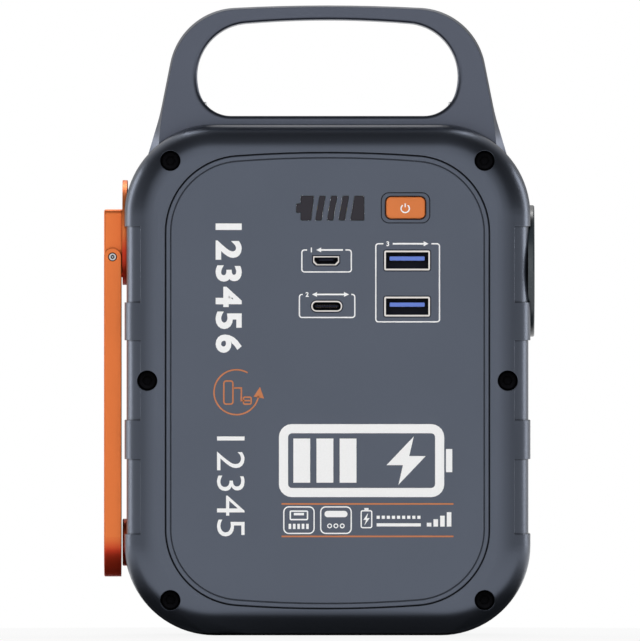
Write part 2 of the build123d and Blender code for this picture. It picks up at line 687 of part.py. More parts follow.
# ---- torch -------------------------------------------------------------------------------
with BuildPart() as torch_bezel:
    with BuildSketch(plane_x(TORCH_SEAT_X)):
        with Locations((TORCH_Y, TORCH_Z)):
            Circle(TORCH_R)
            Circle(TORCH_INSIDE_R, mode=Mode.SUBTRACT)
    extrude(amount=TORCH_X - TORCH_SEAT_X)
    fillet(torch_bezel.faces().sort_by(Axis.X)[-1].edges(), 0.5)
    with BuildSketch(plane_x(LED_X)):
        with Locations((TORCH_Y, TORCH_Z)):
            Circle(TORCH_SLEEVE_R)
            Circle(TORCH_INSIDE_R, mode=Mode.SUBTRACT)
    extrude(amount=TORCH_SEAT_X - LED_X)
save(torch_bezel, "torch_bezel")

with BuildPart() as torch_lens:
    with BuildSketch(plane_x(LENS_X)):
        with Locations((TORCH_Y, TORCH_Z)):
            Circle(TORCH_INSIDE_R - 0.05)
    extrude(amount=LENS_T)
save(torch_lens, "torch_lens")

REFLECTOR_X = LENS_X - 0.1
RIM_TOP, BOWL_TOP = TORCH_Z + TORCH_INSIDE_R - 0.1, TORCH_Z + TORCH_INSIDE_R - 1.4
BOWL_LOW, FOOT_LOW = TORCH_Z + 4.0, TORCH_Z + 5.4   # the bowl's hole round the lamp

with BuildPart() as torch_reflector:
    with BuildSketch(plane_y(TORCH_Y)):
        with BuildLine():
            Line((REFLECTOR_X, RIM_TOP), (REFLECTOR_X, BOWL_TOP))
            ThreePointArc((REFLECTOR_X, BOWL_TOP), (49.5, TORCH_Z + 10.3), (LED_X + 0.6, BOWL_LOW))
            Line((LED_X + 0.6, BOWL_LOW), (LED_X, FOOT_LOW))
            ThreePointArc((LED_X, FOOT_LOW), (48.8, TORCH_Z + 11.5), (REFLECTOR_X - 1.0, RIM_TOP))
            Line((REFLECTOR_X - 1.0, RIM_TOP), (REFLECTOR_X, RIM_TOP))
        make_face()
    revolve(axis=Axis((0, TORCH_Y, TORCH_Z), (1, 0, 0)))
save(torch_reflector, "torch_reflector")

with BuildPart() as torch_led_board:
    with BuildSketch(plane_x(LED_X)):
        with Locations((TORCH_Y, TORCH_Z)):
            Circle(LED_BOARD_R)
    extrude(amount=-LED_BOARD_T)
save(torch_led_board, "torch_led_board")

with BuildPart() as torch_led:
    with BuildSketch(plane_x(LED_X)):
        with Locations((TORCH_Y, TORCH_Z)):
            RectangleRounded(5.0, 5.0, 0.3)
    extrude(amount=1.0)
    with BuildSketch(plane_x(LED_X + 1.0)):
        with Locations((TORCH_Y, TORCH_Z)):
            Circle(2.0)
    extrude(amount=0.9)
    fillet(torch_led.faces().sort_by(Axis.X)[-1].edges(), 0.8)
save(torch_led, "torch_led")

# ---- lamp bar in the back ------------------------------------------------------------------
with BuildPart() as rear_lamp_lens:
    with BuildSketch(plane_y(BACK_Y + 0.3)):
        with Locations((0, LAMP_Z)):
            RectangleRounded(LAMP_W, LAMP_H, 3.0)
    extrude(amount=FACE_WALL + 0.3)
    fillet(rear_lamp_lens.faces().sort_by(Axis.Y)[-1].edges(), 0.5)
    with BuildSketch(plane_y(BACK_Y - FACE_WALL)):
        with Locations((0, LAMP_Z)):
            RectangleRounded(LAMP_W + 2, LAMP_H + 2, 4.0)
    extrude(amount=1.0)
save(rear_lamp_lens, "rear_lamp_lens")

with BuildPart() as rear_lamp_board:
    with BuildSketch(plane_y(LAMP_BOARD_Y)):
        with Locations((0, LAMP_Z)):
            RectangleRounded(73.0, 9.0, 1.0)
    extrude(amount=1.6)
save(rear_lamp_board, "rear_lamp_board")

with BuildPart() as rear_lamp_leds:
    with BuildSketch(plane_y(LAMP_BOARD_Y)):
        with Locations((0, LAMP_Z)):
            with GridLocations(7.0, 1, 9, 1):
                Rectangle(3.5, 2.8)
    extrude(amount=-0.9)
save(rear_lamp_leds, "rear_lamp_leds")

# ---- batteries -----------------------------------------------------------------------------
CELL_XS = [(i - 1.5) * CELL_PITCH for i in range(4)]
CELL_SPOTS = [(x, CELL_Y) for x in CELL_XS]

with BuildPart() as battery_cells:
    with BuildSketch(plane_z(CELL_LOW)):
        with Locations(*CELL_SPOTS):
            Circle(CELL_R)
    extrude(amount=CELL_L)
    fillet(battery_cells.edges().filter_by(GeomType.CIRCLE), 0.8)
save(battery_cells, "battery_cells")

with BuildPart() as battery_tray:
    with BuildSketch(plane_y(TRAY_Y[1])):
        with Locations((0, CELL_LOW + CELL_L / 2)):
            RectangleRounded(4 * CELL_PITCH + 2.4, CELL_L + 5.0, 1.5)
    extrude(amount=TRAY_Y[1] - TRAY_Y[0])
    with BuildSketch(plane_y(TRAY_Y[1])):
        with Locations(*TRAY_SPOTS):
            RectangleRounded(8.0, 9.0, 2.0)
    extrude(amount=2.0)
    with BuildSketch(plane_z(CELL_LOW - 0.5)):
        with Locations(*CELL_SPOTS):
            Circle(CELL_R + 0.1)
    extrude(amount=CELL_L + 1.0, mode=Mode.SUBTRACT)
    with BuildSketch(plane_y(TRAY_Y[1])):
        with Locations(*TRAY_SPOTS):
            Circle(1.25)
    extrude(amount=2.0, mode=Mode.SUBTRACT)
save(battery_tray, "battery_tray")

with BuildPart() as cell_links:
    for z in (CELL_LOW - 0.3, CELL_LOW + CELL_L):
        with BuildSketch(plane_z(z)):
            with Locations((-CELL_PITCH, CELL_Y - 1.5), (CELL_PITCH, CELL_Y - 1.5)):
                RectangleRounded(CELL_PITCH + 9.0, 6.0, 1.0)
        extrude(amount=0.3)
save(cell_links, "cell_links")

# ---- gear train ----------------------------------------------------------------------------
def gear_plate(ends, rotor_hole_r):
    """A plate of the gearbox, with the shaft's hole and, if asked, the rotor's."""
    with BuildPart() as plate:
        with BuildSketch(plane_x(ends[0])):
            with Locations((0, sum(PLATE_Z) / 2)):
                RectangleRounded(2 * PLATE_Y, PLATE_Z[1] - PLATE_Z[0], 3.0)
            with Locations(AXIS_0):
                Circle(SHAFT_R + 1.4, mode=Mode.SUBTRACT)
            with Locations(AXIS_1, AXIS_2):
                Circle(PIN_R, mode=Mode.SUBTRACT)
            with Locations(*STANDOFFS):
                Circle(1.0, mode=Mode.SUBTRACT)
            if rotor_hole_r:
                with Locations(AXIS_3):
                    Circle(rotor_hole_r, mode=Mode.SUBTRACT)
        extrude(amount=ends[1] - ends[0])
    return plate


gear_plates = group(gear_plate(OUTER_PLATE, 0).part, gear_plate(INNER_PLATE, 2.4).part)
save(gear_plates, "gear_plates")

with BuildPart() as gear_plate_pillars:
    with BuildSketch(plane_x(OUTER_PLATE[1])):
        with Locations(*STANDOFFS):
            Circle(STANDOFF_R)
            Circle(1.0, mode=Mode.SUBTRACT)
    extrude(amount=INNER_PLATE[0] - OUTER_PLATE[1])
save(gear_plate_pillars, "gear_plate_pillars")

inner_screws = group(
    screws(HANDLE_SCREWS, plane_z(142.3), 2.6, -2.0, SCREW_R, 10.0),
    screws(BOARD_SPOTS, plane_y(BOARD_Y + BOARD_T), 1.9, -1.3, 0.95, BOARD_T + 5),
    screws(TRAY_SPOTS, plane_y(TRAY_Y[1] - 2.0), 2.2, 1.5, 1.1, -9.0),
    screws(STANDOFFS, plane_x(INNER_PLATE[1]), 1.9, 1.3, 1.0, OUTER_PLATE[0] - INNER_PLATE[1]))
save(inner_screws, "inner_screws")

with BuildPart() as idler_pins:
    with BuildSketch(plane_x(OUTER_PLATE[0])):
        with Locations(AXIS_1, AXIS_2):
            Circle(PIN_R)
    extrude(amount=INNER_PLATE[1] - OUTER_PLATE[0])
save(idler_pins, "idler_pins")


def gear(stage, which, axis, other_axis, bore_r, layer, in_space):
    """One gear of a stage, on its axis, facing the other axis of the stage."""
    face = gear_face(stage[0], stage[which], bore_r, angle_to(axis, other_axis), in_space)
    with BuildPart() as wheel:
        with BuildSketch(plane_x(layer[0])):
            with Locations(axis):
                add(face)
        extrude(amount=layer[1] - layer[0])
    return wheel.part


def ring(axis, outer_r, inner_r, start, end):
    with BuildPart() as piece:
        with BuildSketch(plane_x(start)):
            with Locations(axis):
                Circle(outer_r)
                if inner_r:
                    Circle(inner_r, mode=Mode.SUBTRACT)
        extrude(amount=end - start)
    return piece.part


drive_gear = group(gear(STAGE_1, 1, AXIS_0, AXIS_1, SHAFT_R, LAYER_A, False),
                   ring(AXIS_0, SHAFT_R + 2, SHAFT_R, LAYER_A[1], LAYER_A[1] + 2.0))
save(drive_gear, "drive_gear")

idler_gear_1 = group(gear(STAGE_1, 2, AXIS_1, AXIS_0, PIN_R + RUN, LAYER_A, True),
                     ring(AXIS_1, 2.6, PIN_R + RUN, LAYER_A[1], LAYER_B[0]),
                     gear(STAGE_2, 1, AXIS_1, AXIS_2, PIN_R + RUN, LAYER_B, False))
save(idler_gear_1, "idler_gear_1")

idler_gear_2 = group(gear(STAGE_2, 2, AXIS_2, AXIS_1, PIN_R + RUN, LAYER_B, True),
                     ring(AXIS_2, 1.7, PIN_R + RUN, LAYER_B[1], LAYER_C[0]),
                     gear(STAGE_3, 1, AXIS_2, AXIS_3, PIN_R + RUN, LAYER_C, False))
save(idler_gear_2, "idler_gear_2")

# ---- generator -----------------------------------------------------------------------------
ROTOR_R, ROTOR_X = 6.4, (-37.5, -24.0)
AXLE_R = 0.75
CAN_X = INNER_PLATE[1]

rotor_pinion = group(gear(STAGE_3, 2, AXIS_3, AXIS_2, AXLE_R, LAYER_C, True))
save(rotor_pinion, "rotor_pinion")
rotor_axle = group(ring(AXIS_3, AXLE_R, 0, LAYER_C[0] - 0.2, CAN_END_X + 0.6))
save(rotor_axle, "rotor_axle")
rotor_magnet = group(ring(AXIS_3, ROTOR_R, AXLE_R, *ROTOR_X))
save(rotor_magnet, "rotor_magnet")

generator_can = group(ring(AXIS_3, CAN_R, CAN_R - CAN_WALL, CAN_X, CAN_END_X),
                      ring(AXIS_3, CAN_R - CAN_WALL, 2.4, CAN_X, CAN_X + 1.2))
save(generator_can, "generator_can")
generator_end_cap = group(ring(AXIS_3, CAN_R - CAN_WALL, 2.4, CAN_END_X - 1.6, CAN_END_X))
save(generator_end_cap, "generator_end_cap")
rotor_bushes = group(ring(AXIS_3, 2.4, AXLE_R + RUN, INNER_PLATE[0] + 0.3, CAN_X + 1.8),
                     ring(AXIS_3, 2.4, AXLE_R + RUN, CAN_END_X - 2.2, CAN_END_X))
save(rotor_bushes, "rotor_bushes")

POLES = 6
with BuildPart() as stator_core:
    with BuildSketch(plane_x(ROTOR_X[0])):
        with Locations(AXIS_3):
            Circle(CAN_R - CAN_WALL)
            Circle(CAN_R - CAN_WALL - 1.2, mode=Mode.SUBTRACT)
            with PolarLocations(8.6, POLES):
                Rectangle(3.2, 1.6)
    extrude(amount=ROTOR_X[1] - ROTOR_X[0])
save(stator_core, "stator_core")

with BuildPart() as stator_coils:
    with BuildSketch(plane_x(ROTOR_X[0] - 1.2)):
        with Locations(AXIS_3):
            with PolarLocations(8.5, POLES):
                RectangleRounded(2.4, 4.2, 0.6)
    extrude(amount=ROTOR_X[1] - ROTOR_X[0] + 2.4)
    add(stator_core.part, mode=Mode.SUBTRACT)
save(stator_coils, "stator_coils")

# ---- crank hub -----------------------------------------------------------------------------
SHAFT_X = (-59.6, -42.2)

crank_bushes = group(ring(AXIS_0, SHAFT_R + 1.4, SHAFT_R + RUN, RECESS_X, OUTER_PLATE[1]),
                     ring(AXIS_0, 4.9, SHAFT_R + 1.4, -BODY_W / 2 + WALL, OUTER_PLATE[0]),
                     ring(AXIS_0, SHAFT_R + 1.4, SHAFT_R + RUN, INNER_PLATE[0] - 0.8, INNER_PLATE[1]),
                     ring(AXIS_0, 5.4, SHAFT_R + 1.4, INNER_PLATE[0] - 0.8, INNER_PLATE[0]))
save(crank_bushes, "crank_bushes")

crank_shaft = group(ring(AXIS_0, SHAFT_R, 0, *SHAFT_X))
save(crank_shaft, "crank_shaft")

with BuildPart() as crank_hub:
    with BuildSketch(plane_x(HUB_X)):
        with Locations((0, (HUB_LOW + HUB_HIGH) / 2)):
            RectangleRounded(2 * HUB_HALF_Y, HUB_HIGH - HUB_LOW, 1.6)
    extrude(amount=DISC_X - HUB_X)
    fillet(crank_hub.faces().sort_by(Axis.X)[0].edges(), 0.6)
    with BuildSketch(plane_x(DISC_X)):
        with Locations(AXIS_0):
            Circle(DISC_R)
    extrude(amount=RECESS_X - 0.2 - DISC_X)
    chamfer(crank_hub.faces().filter_by(GeomType.PLANE).sort_by(Axis.X)[-1].edges(), 0.2)
    with BuildSketch(plane_x(SHAFT_X[0])):
        with Locations(AXIS_0):
            Circle(SHAFT_R)
    extrude(amount=5, mode=Mode.SUBTRACT)
    with BuildSketch(plane_x(HUB_X + 2.2)):
        with Locations(AXIS_0):
            Circle(3.2)
    extrude(amount=-5, mode=Mode.SUBTRACT)
    with BuildSketch(plane_x(HUB_X)):
        with Locations(AXIS_0):
            Circle(1.5)
    extrude(amount=5, mode=Mode.SUBTRACT)
    with BuildSketch(plane_y(HUB_HALF_Y + 1)):
        with Locations((PIVOT_X, PIVOT_Z)):
            Circle(PIVOT_R + RUN)
    extrude(amount=2 * HUB_HALF_Y + 2, mode=Mode.SUBTRACT)
save(crank_hub, "crank_hub")

with BuildPart() as hub_screw:
    with BuildSketch(plane_x(HUB_X + 0.3)):
        with Locations(AXIS_0):
            Circle(3.0)
            RegularPolygon(1.45, 6, mode=Mode.SUBTRACT)
    extrude(amount=1.2)
    with BuildSketch(plane_x(HUB_X + 1.5)):
        with Locations(AXIS_0):
            Circle(3.0)
    extrude(amount=0.7)
    with BuildSketch(plane_x(HUB_X + 2.2)):
        with Locations(AXIS_0):
            Circle(1.5)
    extrude(amount=SHAFT_X[0] - HUB_X - 2.2)
save(hub_screw, "hub_screw")

# ---- folding arm ---------------------------------------------------------------------------
ARM_END_ROUND_Z = ARM_END_Z + ARM_HALF_Y
EAR_TOP = PIVOT_Z + PIVOT_X - HUB_X

with BuildPart() as crank_arm:
    with BuildSketch(plane_x(HUB_X)):
        with Locations((0, (ARM_END_ROUND_Z + EAR_TOP) / 2)):
            Rectangle(2 * ARM_HALF_Y, EAR_TOP - ARM_END_ROUND_Z)
        with Locations((0, ARM_END_ROUND_Z)):
            Circle(ARM_HALF_Y)
    extrude(amount=ARM_IN_X - HUB_X)
    fillet(crank_arm.faces().sort_by(Axis.X)[0].edges().sort_by(Axis.Z)[:-1], 0.4)
    # open fork for the hub block
    with BuildSketch(plane_x(HUB_X - 1)):
        with Locations((0, (FORK_Z + EAR_TOP) / 2 + 1)):
            Rectangle(2 * (ARM_HALF_Y - CHEEK), EAR_TOP - FORK_Z + 2)
    extrude(amount=8, mode=Mode.SUBTRACT)
    # ears rounded about the pivot
    with BuildSketch(plane_y(ARM_HALF_Y + 1)):
        with Locations((PIVOT_X, PIVOT_Z + 5)):
            Rectangle(8, 10)
        with Locations((PIVOT_X, PIVOT_Z)):
            Circle(PIVOT_X - HUB_X, mode=Mode.SUBTRACT)
    extrude(amount=2 * ARM_HALF_Y + 2, mode=Mode.SUBTRACT)
    # pocket for the folded grip
    with BuildSketch(plane_x(HUB_X + WEB)):
        with Locations((0, (ARM_END_ROUND_Z + POCKET_HIGH) / 2)):
            Rectangle(2 * (ARM_HALF_Y - CHEEK), POCKET_HIGH - ARM_END_ROUND_Z)
        with Locations((0, ARM_END_ROUND_Z)):
            Circle(ARM_HALF_Y - CHEEK)
    extrude(amount=8, mode=Mode.SUBTRACT)
    # pivot holes, with a seat round the pin's heads, and blind holes for the grip's pin
    with BuildSketch(plane_y(ARM_HALF_Y + 1)):
        with Locations((PIVOT_X, PIVOT_Z)):
            Circle(PIVOT_R)
    extrude(amount=2 * ARM_HALF_Y + 2, mode=Mode.SUBTRACT)
    for y, depth in ((-ARM_HALF_Y + 0.4, 2), (ARM_HALF_Y - 0.4, -2)):
        with BuildSketch(plane_y(y)):
            with Locations((PIVOT_X, PIVOT_Z)):
                Circle(PIVOT_R + 0.25)
        extrude(amount=depth, mode=Mode.SUBTRACT)
    with BuildSketch(plane_y(ARM_HALF_Y - 0.9)):
        with Locations((KNUCKLE_X, KNUCKLE_Z)):
            Circle(KNUCKLE_PIN_R)
    extrude(amount=2 * ARM_HALF_Y - 1.8, mode=Mode.SUBTRACT)
save(crank_arm, "crank_arm")

with BuildPart() as arm_pivot_pin:
    with BuildSketch(plane_y(ARM_HALF_Y - 0.1)):
        with Locations((PIVOT_X, PIVOT_Z)):
            Circle(PIVOT_R)
    extrude(amount=2 * ARM_HALF_Y - 0.2)
    with BuildSketch(plane_y(-ARM_HALF_Y + 0.9)):
        with Locations((PIVOT_X, PIVOT_Z)):
            RegularPolygon(0.55, 6)
    extrude(amount=2, mode=Mode.SUBTRACT)
save(arm_pivot_pin, "arm_pivot_pin")

with BuildPart() as grip_pin:
    with BuildSketch(plane_y(ARM_HALF_Y - 0.9)):
        with Locations((KNUCKLE_X, KNUCKLE_Z)):
            Circle(KNUCKLE_PIN_R)
    extrude(amount=2 * ARM_HALF_Y - 1.8)
save(grip_pin, "grip_pin")

# ---- folding grip --------------------------------------------------------------------------
PAD_DEPTH, PAD_HALF_Y, PAD_Z = 0.9, 7.4, (33.0, 71.0)
KNUCKLE_HALF_Y = 8.2

with BuildPart() as grip_core:
    with BuildSketch(plane_x(KNUCKLE_X - PADDLE_HALF_T)):
        with Locations((0, (KNUCKLE_Z + PADDLE_HIGH) / 2)):
            Rectangle(2 * KNUCKLE_HALF_Y, PADDLE_HIGH - KNUCKLE_Z - 6)
        with Locations((0, KNUCKLE_Z + 2)):
            Rectangle(2 * KNUCKLE_HALF_Y, 4)
        with Locations((0, (KNUCKLE_Z + 3.5 + PADDLE_HIGH) / 2)):
            RectangleRounded(2 * PADDLE_HALF_Y, PADDLE_HIGH - KNUCKLE_Z - 3.5, 2.5)
    extrude(amount=2 * PADDLE_HALF_T)
    with BuildSketch(plane_y(KNUCKLE_HALF_Y)):
        with Locations((KNUCKLE_X, KNUCKLE_Z)):
            Circle(PADDLE_HALF_T)
    extrude(amount=2 * KNUCKLE_HALF_Y)
    with BuildSketch(plane_y(ARM_HALF_Y)):
        with Locations((KNUCKLE_X, KNUCKLE_Z)):
            Circle(KNUCKLE_PIN_R + RUN)
    extrude(amount=2 * ARM_HALF_Y, mode=Mode.SUBTRACT)
    with BuildSketch(plane_x(KNUCKLE_X + PADDLE_HALF_T - PAD_DEPTH)):
        with Locations((0, sum(PAD_Z) / 2)):
            RectangleRounded(2 * PAD_HALF_Y, PAD_Z[1] - PAD_Z[0], 3.0)
    extrude(amount=2, mode=Mode.SUBTRACT)
save(grip_core, "grip_core")

with BuildPart() as grip_pad:
    with BuildSketch(plane_x(KNUCKLE_X + PADDLE_HALF_T - PAD_DEPTH)):
        with Locations((0, sum(PAD_Z) / 2)):
            RectangleRounded(2 * PAD_HALF_Y, PAD_Z[1] - PAD_Z[0], 3.0)
    extrude(amount=PAD_DEPTH)
save(grip_pad, "grip_pad")

# ---- rest boss with its magnet, which holds the stowed arm by the steel grip pin -----------
with BuildPart() as rest_boss:
    with BuildSketch(plane_x(RECESS_X)):
        with Locations((0, BOSS_Z)):
            Circle(BOSS_R)
    extrude(amount=DISC_X - RECESS_X)
    fillet(rest_boss.faces().sort_by(Axis.X)[0].edges(), 0.4)
    with BuildSketch(plane_x(RECESS_X)):
        with Locations((0, BOSS_Z)):
            Circle(SHAFT_R + 1.4)
    extrude(amount=2.6)
    with BuildSketch(plane_x(RECESS_X - 0.6)):
        with Locations((0, BOSS_Z)):
            Circle(3.2)
    extrude(amount=6, mode=Mode.SUBTRACT)
save(rest_boss, "rest_boss")

rest_magnet = group(ring((0, BOSS_Z), 3.2, 0, RECESS_X - 0.6, RECESS_X + 2.6))
save(rest_magnet, "rest_magnet")

# ---- wires inside the casing ---------------------------------------------------------------
BOARD_BACK_Y = BOARD_Y + BOARD_T
CELLS_TOP = CELL_LOW + CELL_L + 0.3
TORCH_BOARD_X = LED_X - LED_BOARD_T
LAMP_BACK_Y = LAMP_BOARD_Y - 1.6


def wires(route, shifts, bend):
    """Equal wires side by side; the route gives a wire's points for a shift."""
    return [lead(route(shift), bend) for shift in shifts]


generator_wires = wires(lambda z: [(CAN_END_X, -3.5, z), (-8.0, -3.5, z), (-8.0, BOARD_BACK_Y, z)],
                        (100.5, 103.0, 105.5), 2.0)
battery_wires = wires(lambda x: [(x, 0.5, CELLS_TOP), (x, 0.5, 86.0), (x, BOARD_BACK_Y, 86.0)],
                      (24.0, 27.0), 4.0)
torch_wires = wires(lambda z: [(TORCH_BOARD_X, -4.0, z), (35.5, -4.0, z), (35.5, BOARD_BACK_Y, z)],
                    (103.0, 107.0), 3.0)
lamp_wires = wires(lambda x: [(x, LAMP_BACK_Y, LAMP_Z), (x, 14.0, LAMP_Z),
                              (x, 6.0, 122.0), (x, BOARD_BACK_Y, 122.0)],
                   (14.5, 17.5), 3.0)
inner_wires = group(*generator_wires, *battery_wires, *torch_wires, *lamp_wires)
save(inner_wires, "inner_wires")
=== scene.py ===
import json
from math import cos, pi, radians, sin

import bmesh
import bpy
from mathutils import Matrix, Vector


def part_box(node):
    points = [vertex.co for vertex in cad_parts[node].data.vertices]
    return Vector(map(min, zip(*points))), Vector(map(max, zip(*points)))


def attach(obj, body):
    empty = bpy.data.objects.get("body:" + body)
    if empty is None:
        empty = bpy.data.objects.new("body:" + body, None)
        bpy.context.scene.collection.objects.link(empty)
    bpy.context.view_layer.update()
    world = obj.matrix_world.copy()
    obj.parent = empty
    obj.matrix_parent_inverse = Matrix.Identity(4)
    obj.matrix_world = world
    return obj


# Looks of a hand crank phone charger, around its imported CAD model. Metres, with the CAD's own
# frame: X to the right, Y to the back, Z up. Prints and small parts are drawn in millimetres.
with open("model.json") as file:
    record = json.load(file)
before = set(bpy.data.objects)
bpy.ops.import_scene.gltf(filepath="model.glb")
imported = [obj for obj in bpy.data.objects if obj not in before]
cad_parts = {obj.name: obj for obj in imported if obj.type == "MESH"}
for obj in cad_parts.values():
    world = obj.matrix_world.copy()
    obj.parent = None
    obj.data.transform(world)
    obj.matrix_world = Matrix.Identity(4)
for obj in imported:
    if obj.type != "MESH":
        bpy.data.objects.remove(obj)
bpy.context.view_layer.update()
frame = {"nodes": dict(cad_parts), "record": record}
NODES = frame["nodes"]
MM = 0.001
PANEL_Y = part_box("front_panel")[0].y

# ---- colours, linear ------------------------------------------------------------------------
RIM_GREY = (0.098, 0.112, 0.144)
PANEL_GREY = (0.103, 0.118, 0.152)
HANDLE_GREY = (0.098, 0.110, 0.143)
ORANGE_METAL = (0.84, 0.212, 0.056)
# a darker, redder orange: painted shade on faces turned down and in gaps
ORANGE_UNDERSIDE_SHADE = (0.72, 0.055, 0.020)
# the arm's orange with painted shade, for the rest boss that sits in shadow
ORANGE_PAINTED_SHADE = (0.62, 0.085, 0.030)
ORANGE_PLASTIC = (0.67, 0.185, 0.046)
WHITE_INK = (0.95, 0.95, 0.95)
ORANGE_INK = (0.56, 0.21, 0.095)
GAUGE_GREY = (0.028, 0.026, 0.032)
WHITE = (1.0, 1.0, 1.0)

# ---- shader nodes ---------------------------------------------------------------------------
MIX_FIRST, MIX_SECOND, MIX_RESULT = 6, 7, 2    # the sockets of a Mix node that are for colours
NOISE_LOW, NOISE_HIGH = 0.3, 0.7               # most of a noise texture is between these
EDGE_R = 0.25                 # how far the edges of plastic and coated metal look rounded, in mm
EDGE_STARTS, EDGE_FULL = 0.995, 0.86           # cosine between a face's normal and its rounded one
WORN_LOW, WORN_HIGH = 0.38, 0.62               # the part of the noise that breaks up worn edges
# Painted shade in gaps and grooves: the colour darkens by how little open sky is near.
CREVICE_REACH = 1.0 * MM
CREVICE_SHUT, CREVICE_OPEN = 0.35, 0.85        # share of open sky in a dark gap and on a clear face


def feed(tree, node, inputs):
    """Sets a node's inputs, to values or to other nodes' outputs."""
    for key, value in inputs.items():
        if isinstance(value, bpy.types.NodeSocket):
            tree.links.new(value, node.inputs[key])
        else:
            node.inputs[key].default_value = value


def add(tree, kind, inputs=None, **settings):
    """A shader node with these settings and inputs."""
    made = tree.nodes.new("ShaderNode" + kind)
    for key, value in settings.items():
        setattr(made, key, value)
    feed(tree, made, inputs or {})
    return made


def calculate(tree, operation, *values):
    """The result of a calculation with values or outputs."""
    return add(tree, "Math", dict(enumerate(values)), operation=operation).outputs["Value"]


def combine(tree, operation, *vectors, result="Vector"):
    """The result of a calculation with vectors: a vector, or a value where the result is named so."""
    return add(tree, "VectorMath", dict(enumerate(vectors)), operation=operation).outputs[result]


def blend_colours(tree, share, first, second):
    """A mix of two colours, each a value or an output."""
    first, second = (c if isinstance(c, bpy.types.NodeSocket) else (*c, 1.0) for c in (first, second))
    inputs = {"Factor": share, MIX_FIRST: first, MIX_SECOND: second}
    return add(tree, "Mix", inputs, data_type="RGBA").outputs[MIX_RESULT]


def spread_out(tree, value, low, high, to_low=0.0, to_high=1.0):
    """A value brought from one range to another, and kept inside that."""
    inputs = {"Value": value, "From Min": low, "From Max": high, "To Min": to_low, "To Max": to_high}
    return add(tree, "MapRange", inputs).outputs["Result"]


def noise(tree, place, scale, detail=3.0):
    """Cloudy noise, with about this many clouds to the metre."""
    return add(tree, "TexNoise", {"Vector": place, "Scale": scale, "Detail": detail}).outputs["Fac"]


def follow(tree, cloud, low=0.0, high=1.0):
    """A value between low and high that follows a noise."""
    return spread_out(tree, cloud, NOISE_LOW, NOISE_HIGH, low, high)


def scaled(colour, factor):
    return tuple(min(1.0, part * factor) for part in colour)


def uneven(tree, place, scale, colour, spread):
    """A colour that wanders between a slightly darker and a slightly lighter tone."""
    cloud = follow(tree, noise(tree, place, scale))
    return blend_colours(tree, cloud, scaled(colour, 1 - spread), scaled(colour, 1 + spread))


def round_edges(tree, radius):
    """Normals as if the edges had this radius, in mm."""
    return add(tree, "Bevel", {"Radius": radius * MM}, samples=4).outputs["Normal"]


def bumps(tree, height, strength, depth, normal=None):
    """Normals of a surface that is raised by a height from 0 to 1, where 1 is this depth in mm."""
    inputs = {"Strength": strength, "Distance": depth * MM, "Height": height}
    if normal is not None:
        inputs["Normal"] = normal
    return add(tree, "Bump", inputs).outputs["Normal"]


def edge_mask(tree, rounded_normal, place, strength):
    """Where an edge is: 0 on flat faces, up to strength on the edges, broken up a little."""
    face_normal = add(tree, "NewGeometry").outputs["Normal"]
    agreement = combine(tree, "DOT_PRODUCT", rounded_normal, face_normal, result="Value")
    edges = spread_out(tree, agreement, EDGE_STARTS, EDGE_FULL, 0.0, strength)
    worn = spread_out(tree, noise(tree, place, 260.0, 4.0), WORN_LOW, WORN_HIGH)
    return calculate(tree, "MULTIPLY", edges, worn)


def painted_crevice_shade(tree, tone, colour):
    """A tone that turns to a very dark one of the colour in gaps and grooves: painted shade, darker where
    less open sky is near.
    """
    sky = add(tree, "AmbientOcclusion", {"Distance": CREVICE_REACH}, samples=8).outputs["AO"]
    clear = spread_out(tree, sky, CREVICE_SHUT, CREVICE_OPEN)
    return blend_colours(tree, clear, scaled(colour, 0.12), tone)


# ---- materials ------------------------------------------------------------------------------
def start_material(name):
    """A new material, with its tree, its main shader and its place on the object."""
    material = bpy.data.materials.new(name)
    material.use_nodes = True
    tree = material.node_tree
    place = add(tree, "TexCoord").outputs["Object"]
    return material, tree, tree.nodes["Principled BSDF"], place


def moulded(name, colour, roughness, grain=0.45, depth=0.35, spread=0.05, wear=0.25, specular=0.4,
            metallic=0.0):
    """Moulded or painted plastic: fine grain, whose size is in mm, slightly uneven tone and gloss,
    soft edges, a little wear and painted shade in gaps and grooves. Paint with metal flakes is partly
    metallic."""
    material, tree, shader, place = start_material(name)
    rounded_normal = round_edges(tree, EDGE_R)
    worn = edge_mask(tree, rounded_normal, place, wear)
    tone = blend_colours(tree, worn, uneven(tree, place, 38.0, colour, spread), scaled(colour, 1.9))
    grains = noise(tree, place, 1 / (grain * MM), 2.0)
    feed(tree, shader, {
        # the colour carries painted shade in gaps and grooves
        "Base Color": painted_crevice_shade(tree, tone, colour),
        "Roughness": follow(tree, grains, roughness - depth * 0.15, roughness + depth * 0.15),
        "Normal": bumps(tree, grains, depth, 0.02, rounded_normal),
        "Specular IOR Level": specular,
        "Metallic": metallic,
    })
    return material


def coated_metal(name, colour, shade_tone, roughness, metallic):
    """Anodised metal: fine blasted grain, satin gloss, edges rubbed lighter, and painted shade: a
    darker, redder colour on the faces that are turned down at rest, and in gaps and grooves."""
    material, tree, shader, place = start_material(name)
    rounded_normal = round_edges(tree, EDGE_R)
    upward = add(tree, "SeparateXYZ", {"Vector": add(tree, "TexCoord").outputs["Normal"]}).outputs["Z"]
    tone = uneven(tree, place, 55.0, colour, 0.02)
    # painted shade: faces turned down at rest take the darker, redder tone
    tone = blend_colours(tree, spread_out(tree, upward, 0.0, -0.35), tone, shade_tone)
    worn = edge_mask(tree, rounded_normal, place, 0.1)
    tone = blend_colours(tree, worn, tone, scaled(colour, 1.3))
    grains = noise(tree, place, 3800.0)
    feed(tree, shader, {
        "Base Color": painted_crevice_shade(tree, tone, shade_tone),
        "Roughness": follow(tree, grains, roughness - 0.05, roughness + 0.06),
        "Normal": bumps(tree, grains, 0.25, 0.012, rounded_normal),
        "Metallic": metallic,
    })
    return material


LINES_X, LINES_Y = (30.0, 900.0, 900.0), (900.0, 30.0, 900.0)


